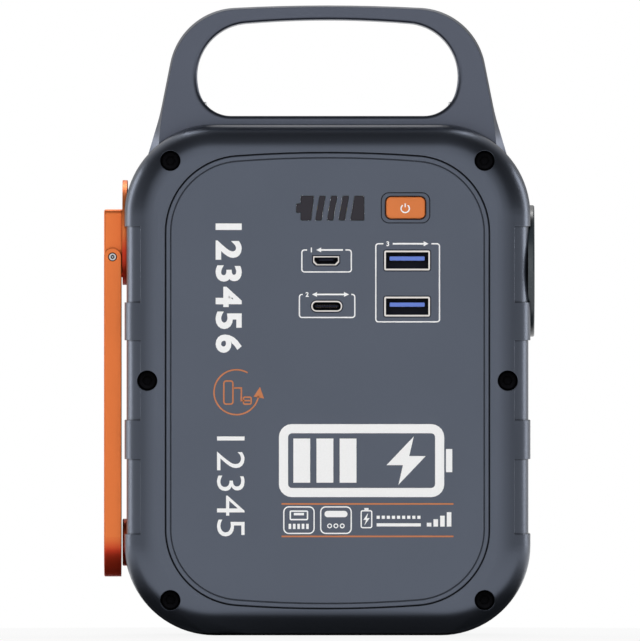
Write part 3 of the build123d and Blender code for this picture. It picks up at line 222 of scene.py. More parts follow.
def brushed(name, colour, roughness, lines=LINES_X):
    """Bare metal with fine lines along X or Y."""
    material, tree, shader, place = start_material(name)
    along = add(tree, "Mapping", {"Vector": place, "Scale": lines}).outputs["Vector"]
    streaks = noise(tree, along, 4.0, 4.0)
    feed(tree, shader, {
        "Base Color": blend_colours(tree, streaks, scaled(colour, 0.85), scaled(colour, 1.12)),
        "Roughness": follow(tree, streaks, roughness - 0.06, roughness + 0.08),
        "Normal": bumps(tree, streaks, 0.2, 0.01, round_edges(tree, 0.12)),
        "Metallic": 1.0,
    })
    return material


ACRYLIC_IOR = 1.49
RIB_SCALE = 6.28              # with this, half a wave of the wave texture is about as wide as a rib


def clear_plastic(name, tint, roughness, rib=0.0):
    """Clear moulded plastic; rib is the width of its prisms in mm, or 0 for none."""
    material, tree, shader, place = start_material(name)
    haze = noise(tree, place, 300.0)
    feed(tree, shader, {
        "Base Color": blend_colours(tree, haze, scaled(tint, 0.97), tint),
        "Roughness": follow(tree, haze, roughness, roughness + 0.03),
        "Transmission Weight": 1.0,
        "IOR": ACRYLIC_IOR,
    })
    if rib:
        inputs = {"Vector": place, "Scale": 1 / (rib * MM) / RIB_SCALE}
        waves = add(tree, "TexWave", inputs, wave_profile="SIN").outputs["Fac"]
        feed(tree, shader, {"Normal": bumps(tree, waves, 0.6, 0.1)})
    return material


def ink(name, colour):
    """Screen-printed ink: nearly even, with tiny specks of a darker tone and a matt surface."""
    material, tree, shader, place = start_material(name)
    specks = noise(tree, place, 2200.0, 2.0)
    feed(tree, shader, {
        "Base Color": blend_colours(tree, spread_out(tree, specks, 0.35, 0.65), scaled(colour, 0.97), colour),
        "Roughness": follow(tree, specks, 0.5, 0.62),
        "Specular IOR Level": 0.25,
    })
    return material


def glowing(name, colour, strength):
    """A lamp's phosphor, faintly lit."""
    material, tree, shader, place = start_material(name)
    specks = noise(tree, place, 900.0, 2.0)
    feed(tree, shader, {
        "Base Color": blend_colours(tree, specks, scaled(colour, 0.85), colour),
        "Roughness": follow(tree, specks, 0.3, 0.5),
        "Emission Color": (*colour, 1.0),
        "Emission Strength": strength,
    })
    return material


FLAKES = 0.92                 # metallic share of the grey paint
PAINT = {"depth": 0.06, "spread": 0.02, "wear": 0.1, "specular": 0.5, "metallic": FLAKES}
SMOOTH = {"grain": 0.2, "depth": 0.1, "wear": 0.0}

LOOKS = {
    "rim_grey": moulded("rim_grey", RIM_GREY, 0.30, **PAINT),
    "panel_grey": moulded("panel_grey", PANEL_GREY, 0.36, grain=0.3, depth=0.2, spread=0.02, metallic=FLAKES),
    "handle_grey": moulded("handle_grey", HANDLE_GREY, 0.32, **PAINT),
    "orange_metal": coated_metal("orange_metal", ORANGE_METAL, ORANGE_UNDERSIDE_SHADE, 0.42, 0.8),
    # the orange metal with painted shade, for the rest boss
    "orange_painted_shade": coated_metal("orange_painted_shade", ORANGE_PAINTED_SHADE, ORANGE_UNDERSIDE_SHADE, 0.34, 0.8),
    "orange_plastic": moulded("orange_plastic", ORANGE_PLASTIC, 0.34, grain=0.25, depth=0.15, wear=0.1),
    "dark_plastic": moulded("dark_plastic", (0.016, 0.017, 0.020), 0.38, grain=0.35, depth=0.3),
    "gauge_smoke": moulded("gauge_smoke", GAUGE_GREY, 0.5, grain=0.3, depth=0.1, wear=0.0, specular=0.2),
    "bezel_black": moulded("bezel_black", (0.022, 0.030, 0.036), 0.26, grain=0.3, depth=0.15, specular=0.6),
    "soft_rubber": moulded("soft_rubber", (0.03, 0.03, 0.033), 0.8, grain=0.6, depth=0.6, wear=0.0),
    "clear": clear_plastic("clear", (0.95, 0.97, 0.98), 0.02),
    "blue_plastic": moulded("blue_plastic", (0.13, 0.21, 0.62), 0.35, **SMOOTH),
    "bright_metal": brushed("bright_metal", (0.74, 0.71, 0.68), 0.26),
    "dark_steel": brushed("dark_steel", (0.045, 0.045, 0.05), 0.42),
    # the black oxide of the casing screws, also used for the painted shade at the pivot pin's heads
    "black_oxide_and_shade": moulded("black_oxide_and_shade", (0.004, 0.004, 0.005), 0.6, specular=0.1, **SMOOTH),
    "socket_black": moulded("socket_black", (0.004, 0.005, 0.014), 0.4, specular=0.2, **SMOOTH),
    "red_shadow": moulded("red_shadow", (0.12, 0.018, 0.008), 0.5, specular=0.2, **SMOOTH),
    "lip_metal": brushed("lip_metal", (0.88, 0.84, 0.81), 0.35),
    "steel": brushed("steel", (0.62, 0.62, 0.63), 0.3),
    "bronze": brushed("bronze", (0.50, 0.30, 0.12), 0.4),
    "copper": brushed("copper", (0.60, 0.24, 0.11), 0.35, LINES_Y),
    "gear_white": moulded("gear_white", (0.78, 0.77, 0.72), 0.4, wear=0.0),
    "board_green": moulded("board_green", (0.015, 0.12, 0.05), 0.35, grain=0.8, depth=0.3, wear=0.0),
    "led_yellow": glowing("led_yellow", (0.90, 0.72, 0.18), 0.15),
    "cell_wrap": moulded("cell_wrap", (0.05, 0.22, 0.40), 0.25, grain=1.5, depth=0.1, wear=0.0),
    "gold": brushed("gold", (0.80, 0.56, 0.24), 0.3, LINES_Y),
    "chrome": brushed("chrome", (0.86, 0.86, 0.87), 0.08),
    "white_ink": ink("white_ink", WHITE_INK),
    "orange_ink": ink("orange_ink", ORANGE_INK),
    "lamp_frost": clear_plastic("lamp_frost", (0.96, 0.97, 0.97), 0.32, rib=1.5),
}
SPECIAL = {
    "gauge_lenses": "gauge_smoke", "torch_reflector": "chrome", "rear_lamp_lens": "lamp_frost",
    "casing_screws": "black_oxide_and_shade", "small_tongues": "socket_black", "rest_boss": "orange_painted_shade",
    "torch_bezel": "bezel_black",
}


def dress_nodes():
    """Every CAD node gets the look of its slot, or its own."""
    for part in frame["record"]["subparts"]:
        mesh = NODES[part["node"]].data
        look = LOOKS[SPECIAL.get(part["node"], part["material_slot"])]
        mesh.materials.clear()
        mesh.materials.append(look)


# ---- flat shapes, drawn in millimetres in the front plane: x to the right, z up -------------
def unit(start, end):
    """The direction from one point to another."""
    return Vector((end[0] - start[0], end[1] - start[1])).normalized()


def stroke(bm, points, width, closed=False):
    """A flat line of this width along the points, with mitred corners."""
    count = len(points)
    rails = []
    for i, point in enumerate(points):
        before = unit(points[i - 1], point) if closed or i else None
        after = unit(point, points[(i + 1) % count]) if closed or i < count - 1 else None
        first, second = before or after, after or before
        side = Vector((-first.y, first.x))
        mitre = side + Vector((-second.y, second.x))
        mitre *= width / 2 / mitre.dot(side)
        rails.append([bm.verts.new((point[0] + s * mitre.x, 0, point[1] + s * mitre.y)) for s in (1, -1)])
    ends = zip(rails, rails[1:] + rails[:1]) if closed else zip(rails, rails[1:])
    for (a, b), (c, d) in ends:
        bm.faces.new((a, b, d, c))


def patch(bm, points):
    """A filled outline."""
    bm.faces.new([bm.verts.new((x, 0, z)) for x, z in points])


def bar(bm, x0, x1, z0, z1):
    patch(bm, ((x0, z0), (x1, z0), (x1, z1), (x0, z1)))


def bars(bm, count, x, step, width, z0, z1, rise=0.0):
    """A row of bars, where each is higher than the one before by the rise."""
    for i in range(count):
        bar(bm, x + i * step, x + width + i * step, z0, z1 + i * rise)


def arc(x, z, radius, start, end, steps=16):
    """Points round a centre, between two angles in degrees, counted from +X towards +Z."""
    turns = [radians(start + (end - start) * i / steps) for i in range(steps + 1)]
    return [(x + radius * cos(a), z + radius * sin(a)) for a in turns]


def circle(x, z, radius, steps, start=0):
    """Points all round a centre, from this angle."""
    return arc(x, z, radius, start, start + 360, steps)[:-1]


def rounded(x0, x1, z0, z1, r):
    """The outline of a rounded rectangle, anticlockwise from its top left."""
    corners = ((x0 + r, z1 - r, 90), (x0 + r, z0 + r, 180), (x1 - r, z0 + r, 270), (x1 - r, z1 - r, 0))
    return [p for x, z, a in corners for p in arc(x, z, r, a, a + 90, 5)]


def frame_line(bm, x0, x1, z0, z1, r, width, gap=None):
    """A rounded frame, whose top line is open between the two X of gap."""
    if gap is None:
        stroke(bm, rounded(x0, x1, z0, z1, r), width, closed=True)
    else:
        stroke(bm, [(gap[0], z1)] + rounded(x0, x1, z0, z1, r) + [(gap[1], z1)], width)


def number(bm, text, x, z, size, weight, sideways=False, stretch=1.0):
    """Plain digits centred on x, z; sideways, their tops face right. The size is their height, and
    the weight makes their strokes bolder."""
    curve = bpy.data.curves.new("digits", "FONT")
    curve.body, curve.offset = text, weight
    curve.resolution_u = 4
    holder = bpy.data.objects.new("digits", curve)
    mesh = bpy.data.meshes.new_from_object(holder)
    places = [v.co for v in mesh.vertices]
    low = Vector((min(p.x for p in places), min(p.y for p in places)))
    high = Vector((max(p.x for p in places), max(p.y for p in places)))
    middle, scale = (low + high) / 2, size / (high.y - low.y)
    for v in mesh.vertices:
        across, up = (v.co.x - middle.x) * scale * stretch, (v.co.y - middle.y) * scale
        v.co = (x + up, 0, z - across) if sideways else (x + across, 0, z + up)
    bm.from_mesh(mesh)
    bpy.data.objects.remove(holder)
    bpy.data.curves.remove(curve)
    bpy.data.meshes.remove(mesh)


def arrow(bm, tail, tip, z, height, width):
    """A small level arrow from one X to another."""
    way = 1 if tip > tail else -1
    neck = tip - way * height
    stroke(bm, ((tail, z), (neck, z)), width)
    patch(bm, ((neck, z - height / 2), (tip, z), (neck, z + height / 2)))


# ---- pieces ---------------------------------------------------------------------------------
def new_object(name, data):
    """An object in the scene, from its mesh, light or camera."""
    made = bpy.data.objects.new(name, data)
    bpy.context.scene.collection.objects.link(made)
    return made


def mesh_object(name, bm, material):
    """An object in the scene, from a mesh in metres."""
    mesh = bpy.data.meshes.new(name)
    bm.to_mesh(mesh)
    bm.free()
    mesh.materials.append(material)
    return new_object(name, mesh)


def finish_piece(name, bm, look, body="casing", smooth=False):
    """A piece of the object from a mesh in metres, riding on a body."""
    bmesh.ops.recalc_face_normals(bm, faces=bm.faces[:])
    for face in bm.faces:
        face.smooth = smooth
    made = mesh_object(name, bm, LOOKS[look])
    if smooth:
        made.data.set_sharp_from_angle(angle=radians(35))
    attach(made, body)


def fine_part(name, bm, look, **how):
    """A piece of the object from a mesh in millimetres."""
    bmesh.ops.scale(bm, vec=(MM, MM, MM), verts=bm.verts)
    finish_piece(name, bm, look, **how)


# ---- prints ---------------------------------------------------------------------------------
PRINT_T = 0.03 * MM           # thickness of the ink
LINE = 0.36                   # width of the thin printed lines
BOLD = 0.035                  # weight of bold digits
LABEL_H = 1.4                 # height of the sockets' labels
LABEL_DIGIT, LABEL_ARROW = 0.5, 1.9            # where a label's digit and arrow are, from its left
ARROW_W = 0.46
FRAME_R = 0.72
# Each socket's number, its frame's left, right, bottom and top, and the X of the frame's gap and
# of the label in it.
SOCKET_FRAMES = (
    ("1", -7.31, 6.78, 103.68, 109.94, (-5.84, 5.09), (-5.1, 4.4)),
    ("2", -8.01, 7.77, 90.7, 97.26, (-7.03, 6.78), (-6.3, 6.1)),
    ("3", 13.77, 31.91, 89.46, 111.71, (15.93, 29.6), (16.7, 28.8)),
)
BATTERY_X, BATTERY_Z = (-13.84, 33.26), (39.5, 60.3)
BATTERY_WALL, BATTERY_GAP = 2.6, 1.5
BATTERY_R = 2.4
TERMINAL_Z = (46.6, 53.2)
CHARGE_STEP, CHARGE_W = 6.6, 4.8
BOLT_HALF = ((2.2, 6.9), (-5.6, -1.3), (-0.9, -1.3))    # the other half is its half turn
ROW_LINES, ROW_X = (37.56, 28.3), (-13.1, 35.9)
ROW_LOW, ROW_HIGH = 29.16, 36.71
BUTTON_X, BUTTON_Z = 22.25, 121.95
BUTTON_W, BUTTON_H, BUTTON_R = 11.2, 6.2, 1.5


def printed(name, bm, look, surface_y=PANEL_Y, body="casing"):
    """Ink on a face that looks to the front, from flat shapes in millimetres."""
    place = Matrix.Translation((0, surface_y, 0)) @ Matrix.Scale(MM, 4)
    bmesh.ops.transform(bm, matrix=place, verts=bm.verts)
    raised = bmesh.ops.extrude_face_region(bm, geom=bm.faces[:])
    verts = [g for g in raised["geom"] if isinstance(g, bmesh.types.BMVert)]
    bmesh.ops.translate(bm, verts=verts, vec=(0, -PRINT_T, 0))
    finish_piece(name, bm, look, body)


def socket_prints():
    """Thin frames round the sockets, open at the top for a number and one or two arrows."""
    frames, labels = bmesh.new(), bmesh.new()
    for text, x0, x1, z0, z1, gap, (left, right) in SOCKET_FRAMES:
        frame_line(frames, x0, x1, z0, z1, FRAME_R, LINE, gap)
        number(labels, text, left + LABEL_DIGIT, z1, LABEL_H, BOLD)
        start = left + LABEL_ARROW
        middle = (start + right) / 2
        arrows = {"1": ((right, start),), "2": ((middle, start), (middle, right)), "3": ((start, right),)}
        for tail, tip in arrows[text]:
            arrow(labels, tail, tip, z1, LABEL_H, ARROW_W)
    printed("socket_frames", frames, "white_ink")
    printed("socket_labels", labels, "white_ink")


def digit_column(name, count, x, top, bottom, size, weight, stretch):
    """A scale from 1 to count that runs down the panel on its side."""
    bm = bmesh.new()
    step = (top - bottom) / count
    for i in range(count):
        number(bm, str(i + 1), x, top - (i + 0.5) * step, size, weight, sideways=True, stretch=stretch)
    printed(name, bm, "white_ink")


def turn_symbol():
    """A round arrow about a small crank, in thin orange lines."""
    bm = bmesh.new()
    x, z, radius, width = -25.95, 69.4, 6.4, 0.42
    stroke(bm, arc(x, z, radius, 60, 350, 40), width)
    tip_x, tip_z = x + radius, z - 0.9
    patch(bm, ((tip_x - 1.5, tip_z - 0.4), (tip_x + 0.3, tip_z + 2.4), (tip_x + 1.5, tip_z - 0.9)))
    # the crank's casing, arm and grip
    frame_line(bm, x - 3.6, x - 1.0, z - 3.4, z + 3.2, 0.7, width)
    stroke(bm, ((x - 1.0, z + 1.2), (x + 1.4, z + 1.2), (x + 1.4, z - 2.4), (x + 3.9, z - 2.4)), width)
    frame_line(bm, x + 2.0, x + 4.2, z - 3.4, z - 1.4, 0.4, width)
    printed("turn_symbol", bm, "orange_ink")


def battery_symbol():
    """A large battery with a bolt and three charge bars."""
    bm = bmesh.new()
    (x0, x1), (z0, z1), half = BATTERY_X, BATTERY_Z, BATTERY_WALL / 2
    frame_line(bm, x0 + half, x1 - half, z0 + half, z1 - half, BATTERY_R, BATTERY_WALL)
    bar(bm, x1 + 0.5, x1 + 2.3, *TERMINAL_Z)
    inset = BATTERY_WALL + BATTERY_GAP
    bars(bm, 3, x0 + inset, CHARGE_STEP, CHARGE_W, z0 + inset, z1 - inset)
    bolt_x, bolt_z = 22.4, (z0 + z1) / 2
    patch(bm, [(bolt_x + way * x, bolt_z + way * z) for way in (1, -1) for x, z in BOLT_HALF])
    printed("battery_symbol", bm, "white_ink")


def symbol_row():
    """A row of small symbols between two orange lines."""
    lines, bm = bmesh.new(), bmesh.new()
    for z in ROW_LINES:
        stroke(lines, ((ROW_X[0], z), (ROW_X[1], z)), 0.46)
    printed("row_lines", lines, "orange_ink")
    # a socket over five contacts, in a frame
    frame_line(bm, -12.45, -3.82, ROW_LOW, ROW_HIGH, 1.4, LINE)
    frame_line(bm, -10.6, -5.7, 33.1, 35.5, 0.25, 0.42)
    bar(bm, -9.6, -6.7, 34.3, 35.0)
    bars(bm, 5, -11.1, 1.25, 0.75, 30.4, 31.9)
    # a filled slot over three rings, in a frame
    frame_line(bm, -1.94, 6.75, ROW_LOW, ROW_HIGH, 1.4, LINE)
    patch(bm, rounded(-0.86, 5.7, 33.77, 35.57, 0.88))
    for i in range(3):
        stroke(bm, circle(0.6 + i * 1.8, 31.3, 0.55, 14), 0.3, closed=True)
    # a small standing battery with a bolt
    frame_line(bm, 9.6, 12.6, 30.8, 35.6, 0.4, LINE)
    bar(bm, 10.5, 11.7, 35.8, 36.4)
    patch(bm, ((11.6, 35.0), (10.2, 33.0), (11.0, 33.0), (10.5, 31.4), (12.0, 33.5), (11.2, 33.5)))
    # small squares over a line, and rising bars
    bars(bm, 9, 14.0, 1.45, 0.9, 33.3, 34.2)
    stroke(bm, ((14.0, 31.6), (26.6, 31.6)), 0.9)
    bars(bm, 4, 28.3, 1.9, 1.3, 31.1, 32.2, rise=1.0)
    printed("row_symbols", bm, "white_ink")


def power_symbol():
    """A ring with a gap and a bar, on the button's cap."""
    bm = bmesh.new()
    x, z = BUTTON_X - 0.1, BUTTON_Z - 0.2
    stroke(bm, arc(x, z, 1.17, 128, 412, 30), LINE)
    stroke(bm, ((x, z + 0.35), (x, z + 1.45)), LINE)
    printed("power_symbol", bm, "white_ink", surface_y=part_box("power_button")[0].y, body="button")


# ---- fine parts of the sockets, button, torch and pivot, in millimetres ---------------------
HAIR = 0.01                   # keeps faces from coinciding
USB_A_H, USB_A_CORNER, USB_C_CORNER = 5.7, 0.5, 1.5
MICRO_CUT = 0.9               # size of the cut corners of the smallest socket
LEAST_CORNER = 0.12
LIPS, LIP_T = (0.5, 0.5, 0.4, 0.26), 0.25     # widths and depth of the shells' bright lips
LIP_PROUD = 0.05
GAP_SHADE_W = 0.26                 # width of the black sheet of painted shadow in the gap round a shell
SHELL_WALL = 0.35
SOCKET_DEPTH = 10.5
# the wall and floor of the dark linings of painted shade inside the sockets
LINING_T, LINING_FLOOR = 0.12, 0.3
USB_A_TONGUE_T = 1.2
# the contacts and springs: where they are across the socket, their size, and their middle's place
# from the front and from the face that they are on
USB_A_CONTACTS_X, USB_A_CONTACT = (-3.5, -1.2, 1.2, 3.5), (1.0, 5.2, 0.08)
CONTACT_BACK, CONTACT_UP = 3.4, 0.02
USB_A_SPRINGS_X, USB_A_SPRING = (-3.1, 3.1), (2.1, 3.6, 0.16)
SPRING_BACK, SPRING_DOWN = 4.0, 0.56
USB_C_CONTACTS, USB_C_PITCH, USB_C_CONTACT = 12, 0.5, (0.26, 2.4, 0.06)
USB_C_LEFT, USB_C_BACK, USB_C_UP = 1.7, 2.4, (-0.01, 0.71)
# width, and place behind the cap's front, of the dark ring of painted shade on the button's edge
BUTTON_RIM_W, BUTTON_RIM_Y = 0.32, (0.3, 0.62)
DOME_R = 1.5
# the dark rings and hexagons of painted shade at the pivot pin's heads
PIN_RING_W, PIN_RING_GAP, PIN_RING_T = 0.28, 0.02, 0.4
HEXAGON_R, HEXAGON_HOLE_R, HEXAGON_PROUD, HEXAGON_T = 0.62, 0.30, 0.03, 0.2


def boxes(bm, spots, size):
    """Small blocks of one size, centred on the spots."""
    for spot in spots:
        made = bmesh.ops.create_cube(bm, size=1.0)["verts"]
        bmesh.ops.scale(bm, vec=size, verts=made)
        bmesh.ops.translate(bm, vec=spot, verts=made)


def tube(bm, outer, inner, front, back, floor=0.0):
    """A wall between two outlines, from front to back; with a floor thickness it is a cup."""
    rows = [(outer, back), (outer, front), (inner, front), (inner, back - floor)]
    loops = [[bm.verts.new((x, y, z)) for x, z in points] for points, y in rows]
    pairs = list(zip(loops, loops[1:])) + ([] if floor else [(loops[-1], loops[0])])
    for first, second in pairs:
        for i in range(len(first)):
            j = (i + 1) % len(first)
            bm.faces.new((first[i], first[j], second[j], second[i]))
    if floor:
        bm.faces.new(loops[0])
        bm.faces.new(loops[-1])


def inset_box(x0, x1, z0, z1, inset, corner):
    """The outline of a rounded rectangle, this far inside it."""
    return rounded(x0 + inset, x1 - inset, z0 + inset, z1 - inset, max(corner - inset, LEAST_CORNER))


def inset_micro(x0, x1, z0, z1, inset):
    """The outline of the socket whose lower corners are cut off, this far inside it."""
    x0, x1, z0, z1, cut = x0 + inset, x1 - inset, z0 + inset, z1 - inset, MICRO_CUT
    return [(x0, z1), (x0, z0 + cut), (x0 + cut, z0), (x1 - cut, z0), (x1, z0 + cut), (x1, z1)]


def node_box(node):
    """A node's lowest and highest corner, in mm."""
    low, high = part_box(node)
    return low / MM, high / MM


def socket_outlines():
    """For each socket, a function that gives its outline for an inset; and the Y of their mouths."""
    low, high = node_box("usb_a_shells")
    spots = [(low.x, high.x, z, z + USB_A_H) for z in (low.z, high.z - USB_A_H)]
    made = [lambda inset, spot=spot: inset_box(*spot, inset, USB_A_CORNER) for spot in spots]
    low, high = node_box("usb_c_shell")
    made.append(lambda inset, spot=(low.x, high.x, low.z, high.z): inset_box(*spot, inset, USB_C_CORNER))
    low, high = node_box("micro_usb_shell")
    made.append(lambda inset, spot=(low.x, high.x, low.z, high.z): inset_micro(*spot, inset))
    return made, low.y


def socket_linings():
    """Bright lips at the sockets' mouths, and painted shade: black sheets in the gaps round them and dark
    linings inside.
    """
    outlines, mouth = socket_outlines()
    lips, linings = bmesh.new(), bmesh.new()
    for outline, lip in zip(outlines, LIPS):
        tube(lips, outline(0.0), outline(lip), mouth - LIP_PROUD, mouth + LIP_T)
        # Painted shade: a black sheet fills the gap round each shell, and a dark lining covers its inside.
        tube(linings, outline(-GAP_SHADE_W), outline(-HAIR), PANEL_Y / MM - 2 * HAIR, mouth + LIP_T)
        tube(linings, outline(SHELL_WALL + HAIR), outline(SHELL_WALL + LINING_T),
             mouth + LIP_T + 2 * HAIR, mouth + SOCKET_DEPTH - 2 * HAIR, floor=LINING_FLOOR)
    fine_part("socket_lips", lips, "lip_metal")
    fine_part("socket_linings", linings, "socket_black")


def usb_a_metal():
    """Gold contacts on the wide sockets' tongues, and the plated springs in their walls."""
    low, high = node_box("usb_a_tongues")
    middle = (low.x + high.x) / 2
    bm = bmesh.new()
    for base in (low.z, high.z - USB_A_TONGUE_T):
        spots = [(middle + side, low.y + CONTACT_BACK, base + CONTACT_UP) for side in USB_A_CONTACTS_X]
        boxes(bm, spots, USB_A_CONTACT)
    fine_part("usb_a_contacts", bm, "gold")
    low, high = node_box("usb_a_shells")
    middle = (low.x + high.x) / 2
    bm = bmesh.new()
    for top in (high.z, low.z + USB_A_H):
        spots = [(middle + side, low.y + SPRING_BACK, top - SPRING_DOWN) for side in USB_A_SPRINGS_X]
        boxes(bm, spots, USB_A_SPRING)
    fine_part("usb_a_springs", bm, "dark_steel")


def usb_c_contacts():
    """Two rows of gold contacts, one on each face of the flat tongue."""
    tongue = node_box("small_tongues")[0]
    left = node_box("usb_c_shell")[0].x
    bm = bmesh.new()
    for i in range(USB_C_CONTACTS):
        x = left + USB_C_LEFT + i * USB_C_PITCH
        boxes(bm, [(x, tongue.y + USB_C_BACK, tongue.z + up) for up in USB_C_UP], USB_C_CONTACT)
    fine_part("usb_c_contacts", bm, "gold")


def button_rim_shade():
    """A dark red ring on the edge of the button's cap: painted shade, for the shadow on its rounded edge."""
    front = node_box("power_button")[0].y
    cap = (BUTTON_X - BUTTON_W / 2, BUTTON_X + BUTTON_W / 2, BUTTON_Z - BUTTON_H / 2, BUTTON_Z + BUTTON_H / 2)
    outer, inner = (inset_box(*cap, inset, BUTTON_R) for inset in (0.0, BUTTON_RIM_W))
    bm = bmesh.new()
    tube(bm, outer, inner, *(front + y for y in BUTTON_RIM_Y))
    fine_part("button_rim_shade", bm, "red_shadow", body="button")


def pivot_rings():
    """Dark rings in the gaps round the heads of the arm's pivot pin, and dark hexagons in their sockets:
    painted shade.
    """
    low, high = node_box("arm_pivot_pin")
    x, z, radius = (low.x + high.x) / 2, (low.z + high.z) / 2, (high.x - low.x) / 2
    bm = bmesh.new()
    for y, way in ((low.y, 1), (high.y, -1)):
        outer, inner = (circle(x, z, radius + more, 32) for more in (PIN_RING_W, PIN_RING_GAP))
        tube(bm, outer, inner, y, y + way * PIN_RING_T)
        outer, inner = (circle(x, z, size, 6, start=30) for size in (HEXAGON_R, HEXAGON_HOLE_R))
        tube(bm, outer, inner, y - way * HEXAGON_PROUD, y + way * HEXAGON_T)
    fine_part("pivot_rings", bm, "black_oxide_and_shade", body="arm")


def led_dome():
    """The clear dome over the torch's LED."""
    low, high = node_box("torch_led")
    bm = bmesh.new()
    bmesh.ops.create_uvsphere(bm, u_segments=28, v_segments=14, radius=DOME_R)
    bmesh.ops.delete(bm, geom=[v for v in bm.verts if v.co.z < -1e-6], context="VERTS")
    rim = [e for e in bm.edges if e.is_boundary]
    bmesh.ops.contextual_create(bm, geom=rim)
    bmesh.ops.rotate(bm, cent=(0, 0, 0), matrix=Matrix.Rotation(pi / 2, 3, "Y"), verts=bm.verts)
    place = (high.x + HAIR, (low.y + high.y) / 2, (low.z + high.z) / 2)
    bmesh.ops.translate(bm, vec=place, verts=bm.verts)
    fine_part("led_dome", bm, "clear", smooth=True)


# ---- stage ----------------------------------------------------------------------------------
FLOOR_HALF = 12.0
FLOOR_SEEN, FLOOR_BOUNCE = 0.95, 0.02          # the floor's grey where it is seen, and in bounced light
FLOOR_GLOW = 0.88                              # share of even white in the floor near the object
GLOW_NEAR, GLOW_FAR = 0.07, 0.20               # from the middle, where it starts to grow and where it is 1
GLOSS_NEAR, GLOSS_FAR = 0.0345, 0.0395         # the same in gloss, by the way to the front or the back
AMBIENT = 0.12                                 # brightness of the surroundings for matt faces
# brightness in gloss by direction: pairs of a direction's part and the brightness there
ROOM_Y = ((-0.74, 1.0), (-0.63, 0.15), (0.20, 0.05), (0.50, 1.0), (0.85, 1.0), (0.98, 0.3))
ROOM_X = ((-0.95, 0.30), (-0.6, 0.5), (-0.1, 1.05), (0.07, 1.05), (0.4, 0.5), (0.95, 0.12))
SIDES_X = ((-0.98, 0.25), (-0.6, 0.0), (0.6, 0.0), (0.98, 0.10))
MIDDLE = (0.0, 0.0, 0.09)                      # where the lamps are turned to
PIXEL = 0.285 * MM                             # size of a picture pixel on the front panel
PICTURE_W, PICTURE_H = 640, 641
BASE_ROW, MIDDLE_COLUMN = 635.7, 327.5         # the base's row and the middle's column in the picture
CAMERA_AWAY = 8.0


def floor_material():
    """Seen as white but for the object's shadow, and dim in the light that it throws back."""
    material, tree, shader, place = start_material("floor")
    tree.nodes.remove(shader)
    rays = add(tree, "LightPath").outputs
    diffuse, glossy = rays["Is Diffuse Ray"], rays["Is Glossy Ray"]
    bounced = calculate(tree, "MAXIMUM", diffuse, glossy)
    grey = blend_colours(tree, bounced, (FLOOR_SEEN,) * 3, (FLOOR_BOUNCE,) * 3)
    matt = add(tree, "BsdfDiffuse", {"Color": grey}).outputs["BSDF"]
    white = add(tree, "Emission", {"Color": (*WHITE, 1.0), "Strength": 1.0}).outputs["Emission"]
    away = combine(tree, "LENGTH", place, result="Value")
    across = calculate(tree, "ABSOLUTE", add(tree, "SeparateXYZ", {"Vector": place}).outputs["Y"])
    in_gloss = calculate(tree, "MULTIPLY", spread_out(tree, across, GLOSS_NEAR, GLOSS_FAR), glossy)
    far = calculate(tree, "MAXIMUM", spread_out(tree, away, GLOW_NEAR, GLOW_FAR), in_gloss)
    near = calculate(tree, "MULTIPLY_ADD", bounced, -FLOOR_GLOW, FLOOR_GLOW)
    undimmed = calculate(tree, "MULTIPLY_ADD", diffuse, -1.0, 1.0)
    share = calculate(tree, "MULTIPLY", calculate(tree, "MAXIMUM", near, far), undimmed)
    mixed = add(tree, "MixShader", {0: share, 1: matt, 2: white}).outputs["Shader"]
    feed(tree, tree.nodes["Material Output"], {"Surface": mixed})
    return material


def floor():
    """A pale, level floor."""
    bm = bmesh.new()
    corners = ((-1, -1), (1, -1), (1, 1), (-1, 1))
    bm.faces.new([bm.verts.new((x * FLOOR_HALF, y * FLOOR_HALF, 0)) for x, y in corners])
    made = mesh_object("floor", bm, floor_material())


def ramp(tree, value, stops):
    """A brightness by a direction's part, which is between -1 and 1."""
    made = add(tree, "ValToRGB", {"Fac": spread_out(tree, value, -1.0, 1.0)})
    marks = made.color_ramp.elements
    marks[0].position, marks[1].position = ((stops[i][0] + 1) / 2 for i in (0, -1))
    for part, _ in stops[1:-1]:
        marks.new((part + 1) / 2)
    for mark, (_, grey) in zip(marks, stops):
        mark.color = (grey, grey, grey, 1.0)
    return made.outputs["Color"]


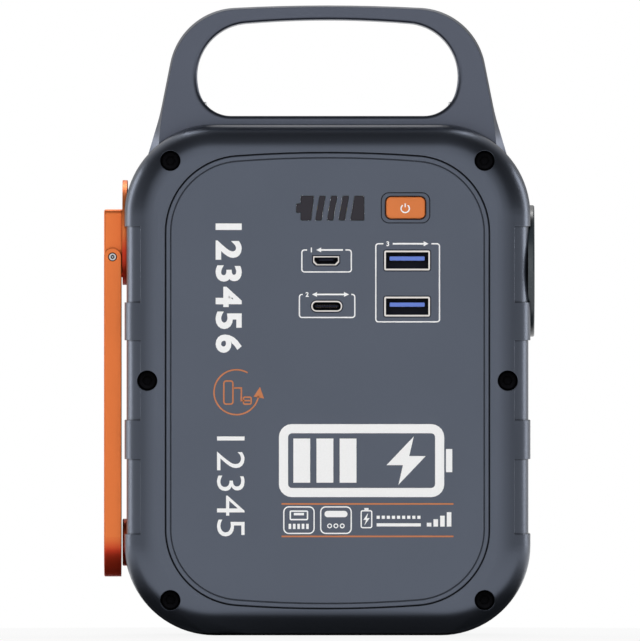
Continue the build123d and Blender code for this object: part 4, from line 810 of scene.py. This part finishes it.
def surroundings():
    """White where they are seen. In gloss they are white in front and at the back, dim at the sides,
    and dark above."""
    world = bpy.data.worlds.new("surroundings")
    bpy.context.scene.world = world
    world.use_nodes = True
    tree = world.node_tree
    tree.nodes.clear()
    rays = add(tree, "LightPath").outputs
    way = add(tree, "TexCoord").outputs["Generated"]
    parts = add(tree, "SeparateXYZ", {"Vector": way}).outputs
    room = combine(tree, "MULTIPLY", ramp(tree, parts["Y"], ROOM_Y), ramp(tree, parts["X"], ROOM_X))
    room = combine(tree, "MAXIMUM", room, ramp(tree, parts["X"], SIDES_X))
    unseen = blend_colours(tree, rays["Is Glossy Ray"], (AMBIENT,) * 3, room)
    seen = calculate(tree, "MAXIMUM", rays["Is Camera Ray"], rays["Is Transmission Ray"])
    colour = blend_colours(tree, seen, unseen, WHITE)
    light = add(tree, "Background", {"Color": colour, "Strength": 1.0}).outputs["Background"]
    output = add(tree, "OutputWorld", {"Surface": light})
    output.is_active_output = True


def lamp(name, place, size, power, in_gloss=True):
    """A soft rectangular lamp, turned to the object, which isn't seen itself."""
    data = bpy.data.lights.new(name, "AREA")
    data.shape, data.size, data.size_y, data.energy = "RECTANGLE", *size, power
    made = new_object(name, data)
    made.location = place
    made.rotation_euler = (Vector(place) - Vector(MIDDLE)).to_track_quat("Z", "Y").to_euler()
    made.visible_camera = False
    made.visible_glossy = in_gloss


def lamps():
    """Strong lamps in front and behind, which gloss doesn't show, and weak ones above and beside."""
    lamp("key", (0.0, -1.8, 0.25), (1.0, 0.8), 34.0, in_gloss=False)
    lamp("back", (0.0, 1.8, 0.35), (1.0, 0.8), 22.0, in_gloss=False)
    lamp("top", (0.0, 0.7, 1.3), (0.9, 0.4), 5.0)
    lamp("left", (-1.4, 0.8, 0.4), (0.5, 1.0), 5.0)
    lamp("right", (1.4, 0.8, 0.4), (0.5, 1.0), 5.0)


def camera():
    """A long lens, level, square to the front panel."""
    data = bpy.data.cameras.new("camera")
    data.sensor_fit = "HORIZONTAL"
    data.sensor_width = 36.0
    data.lens = data.sensor_width * CAMERA_AWAY / (PICTURE_W * PIXEL)
    data.clip_end = 50.0
    made = new_object("camera", data)
    x = (PICTURE_W / 2 - MIDDLE_COLUMN) * PIXEL
    z = (BASE_ROW - PICTURE_H / 2) * PIXEL
    made.location = (x, PANEL_Y - CAMERA_AWAY, z)
    made.rotation_euler = (pi / 2, 0, 0)
    bpy.context.scene.camera = made


dress_nodes()
socket_prints()
digit_column("number_column", 6, -28.17, top=119.9, bottom=79.9, size=7.44, weight=BOLD, stretch=1.12)
turn_symbol()
digit_column("thin_column", 5, -27.57, top=59.4, bottom=27.5, size=7.84, weight=-0.004, stretch=1.1)
battery_symbol()
symbol_row()
power_symbol()
socket_linings()
usb_a_metal()
usb_c_contacts()
button_rim_shade()
pivot_rings()
led_dome()
floor()
surroundings()
lamps()
camera()
bpy.context.scene.view_settings.view_transform = "Standard"
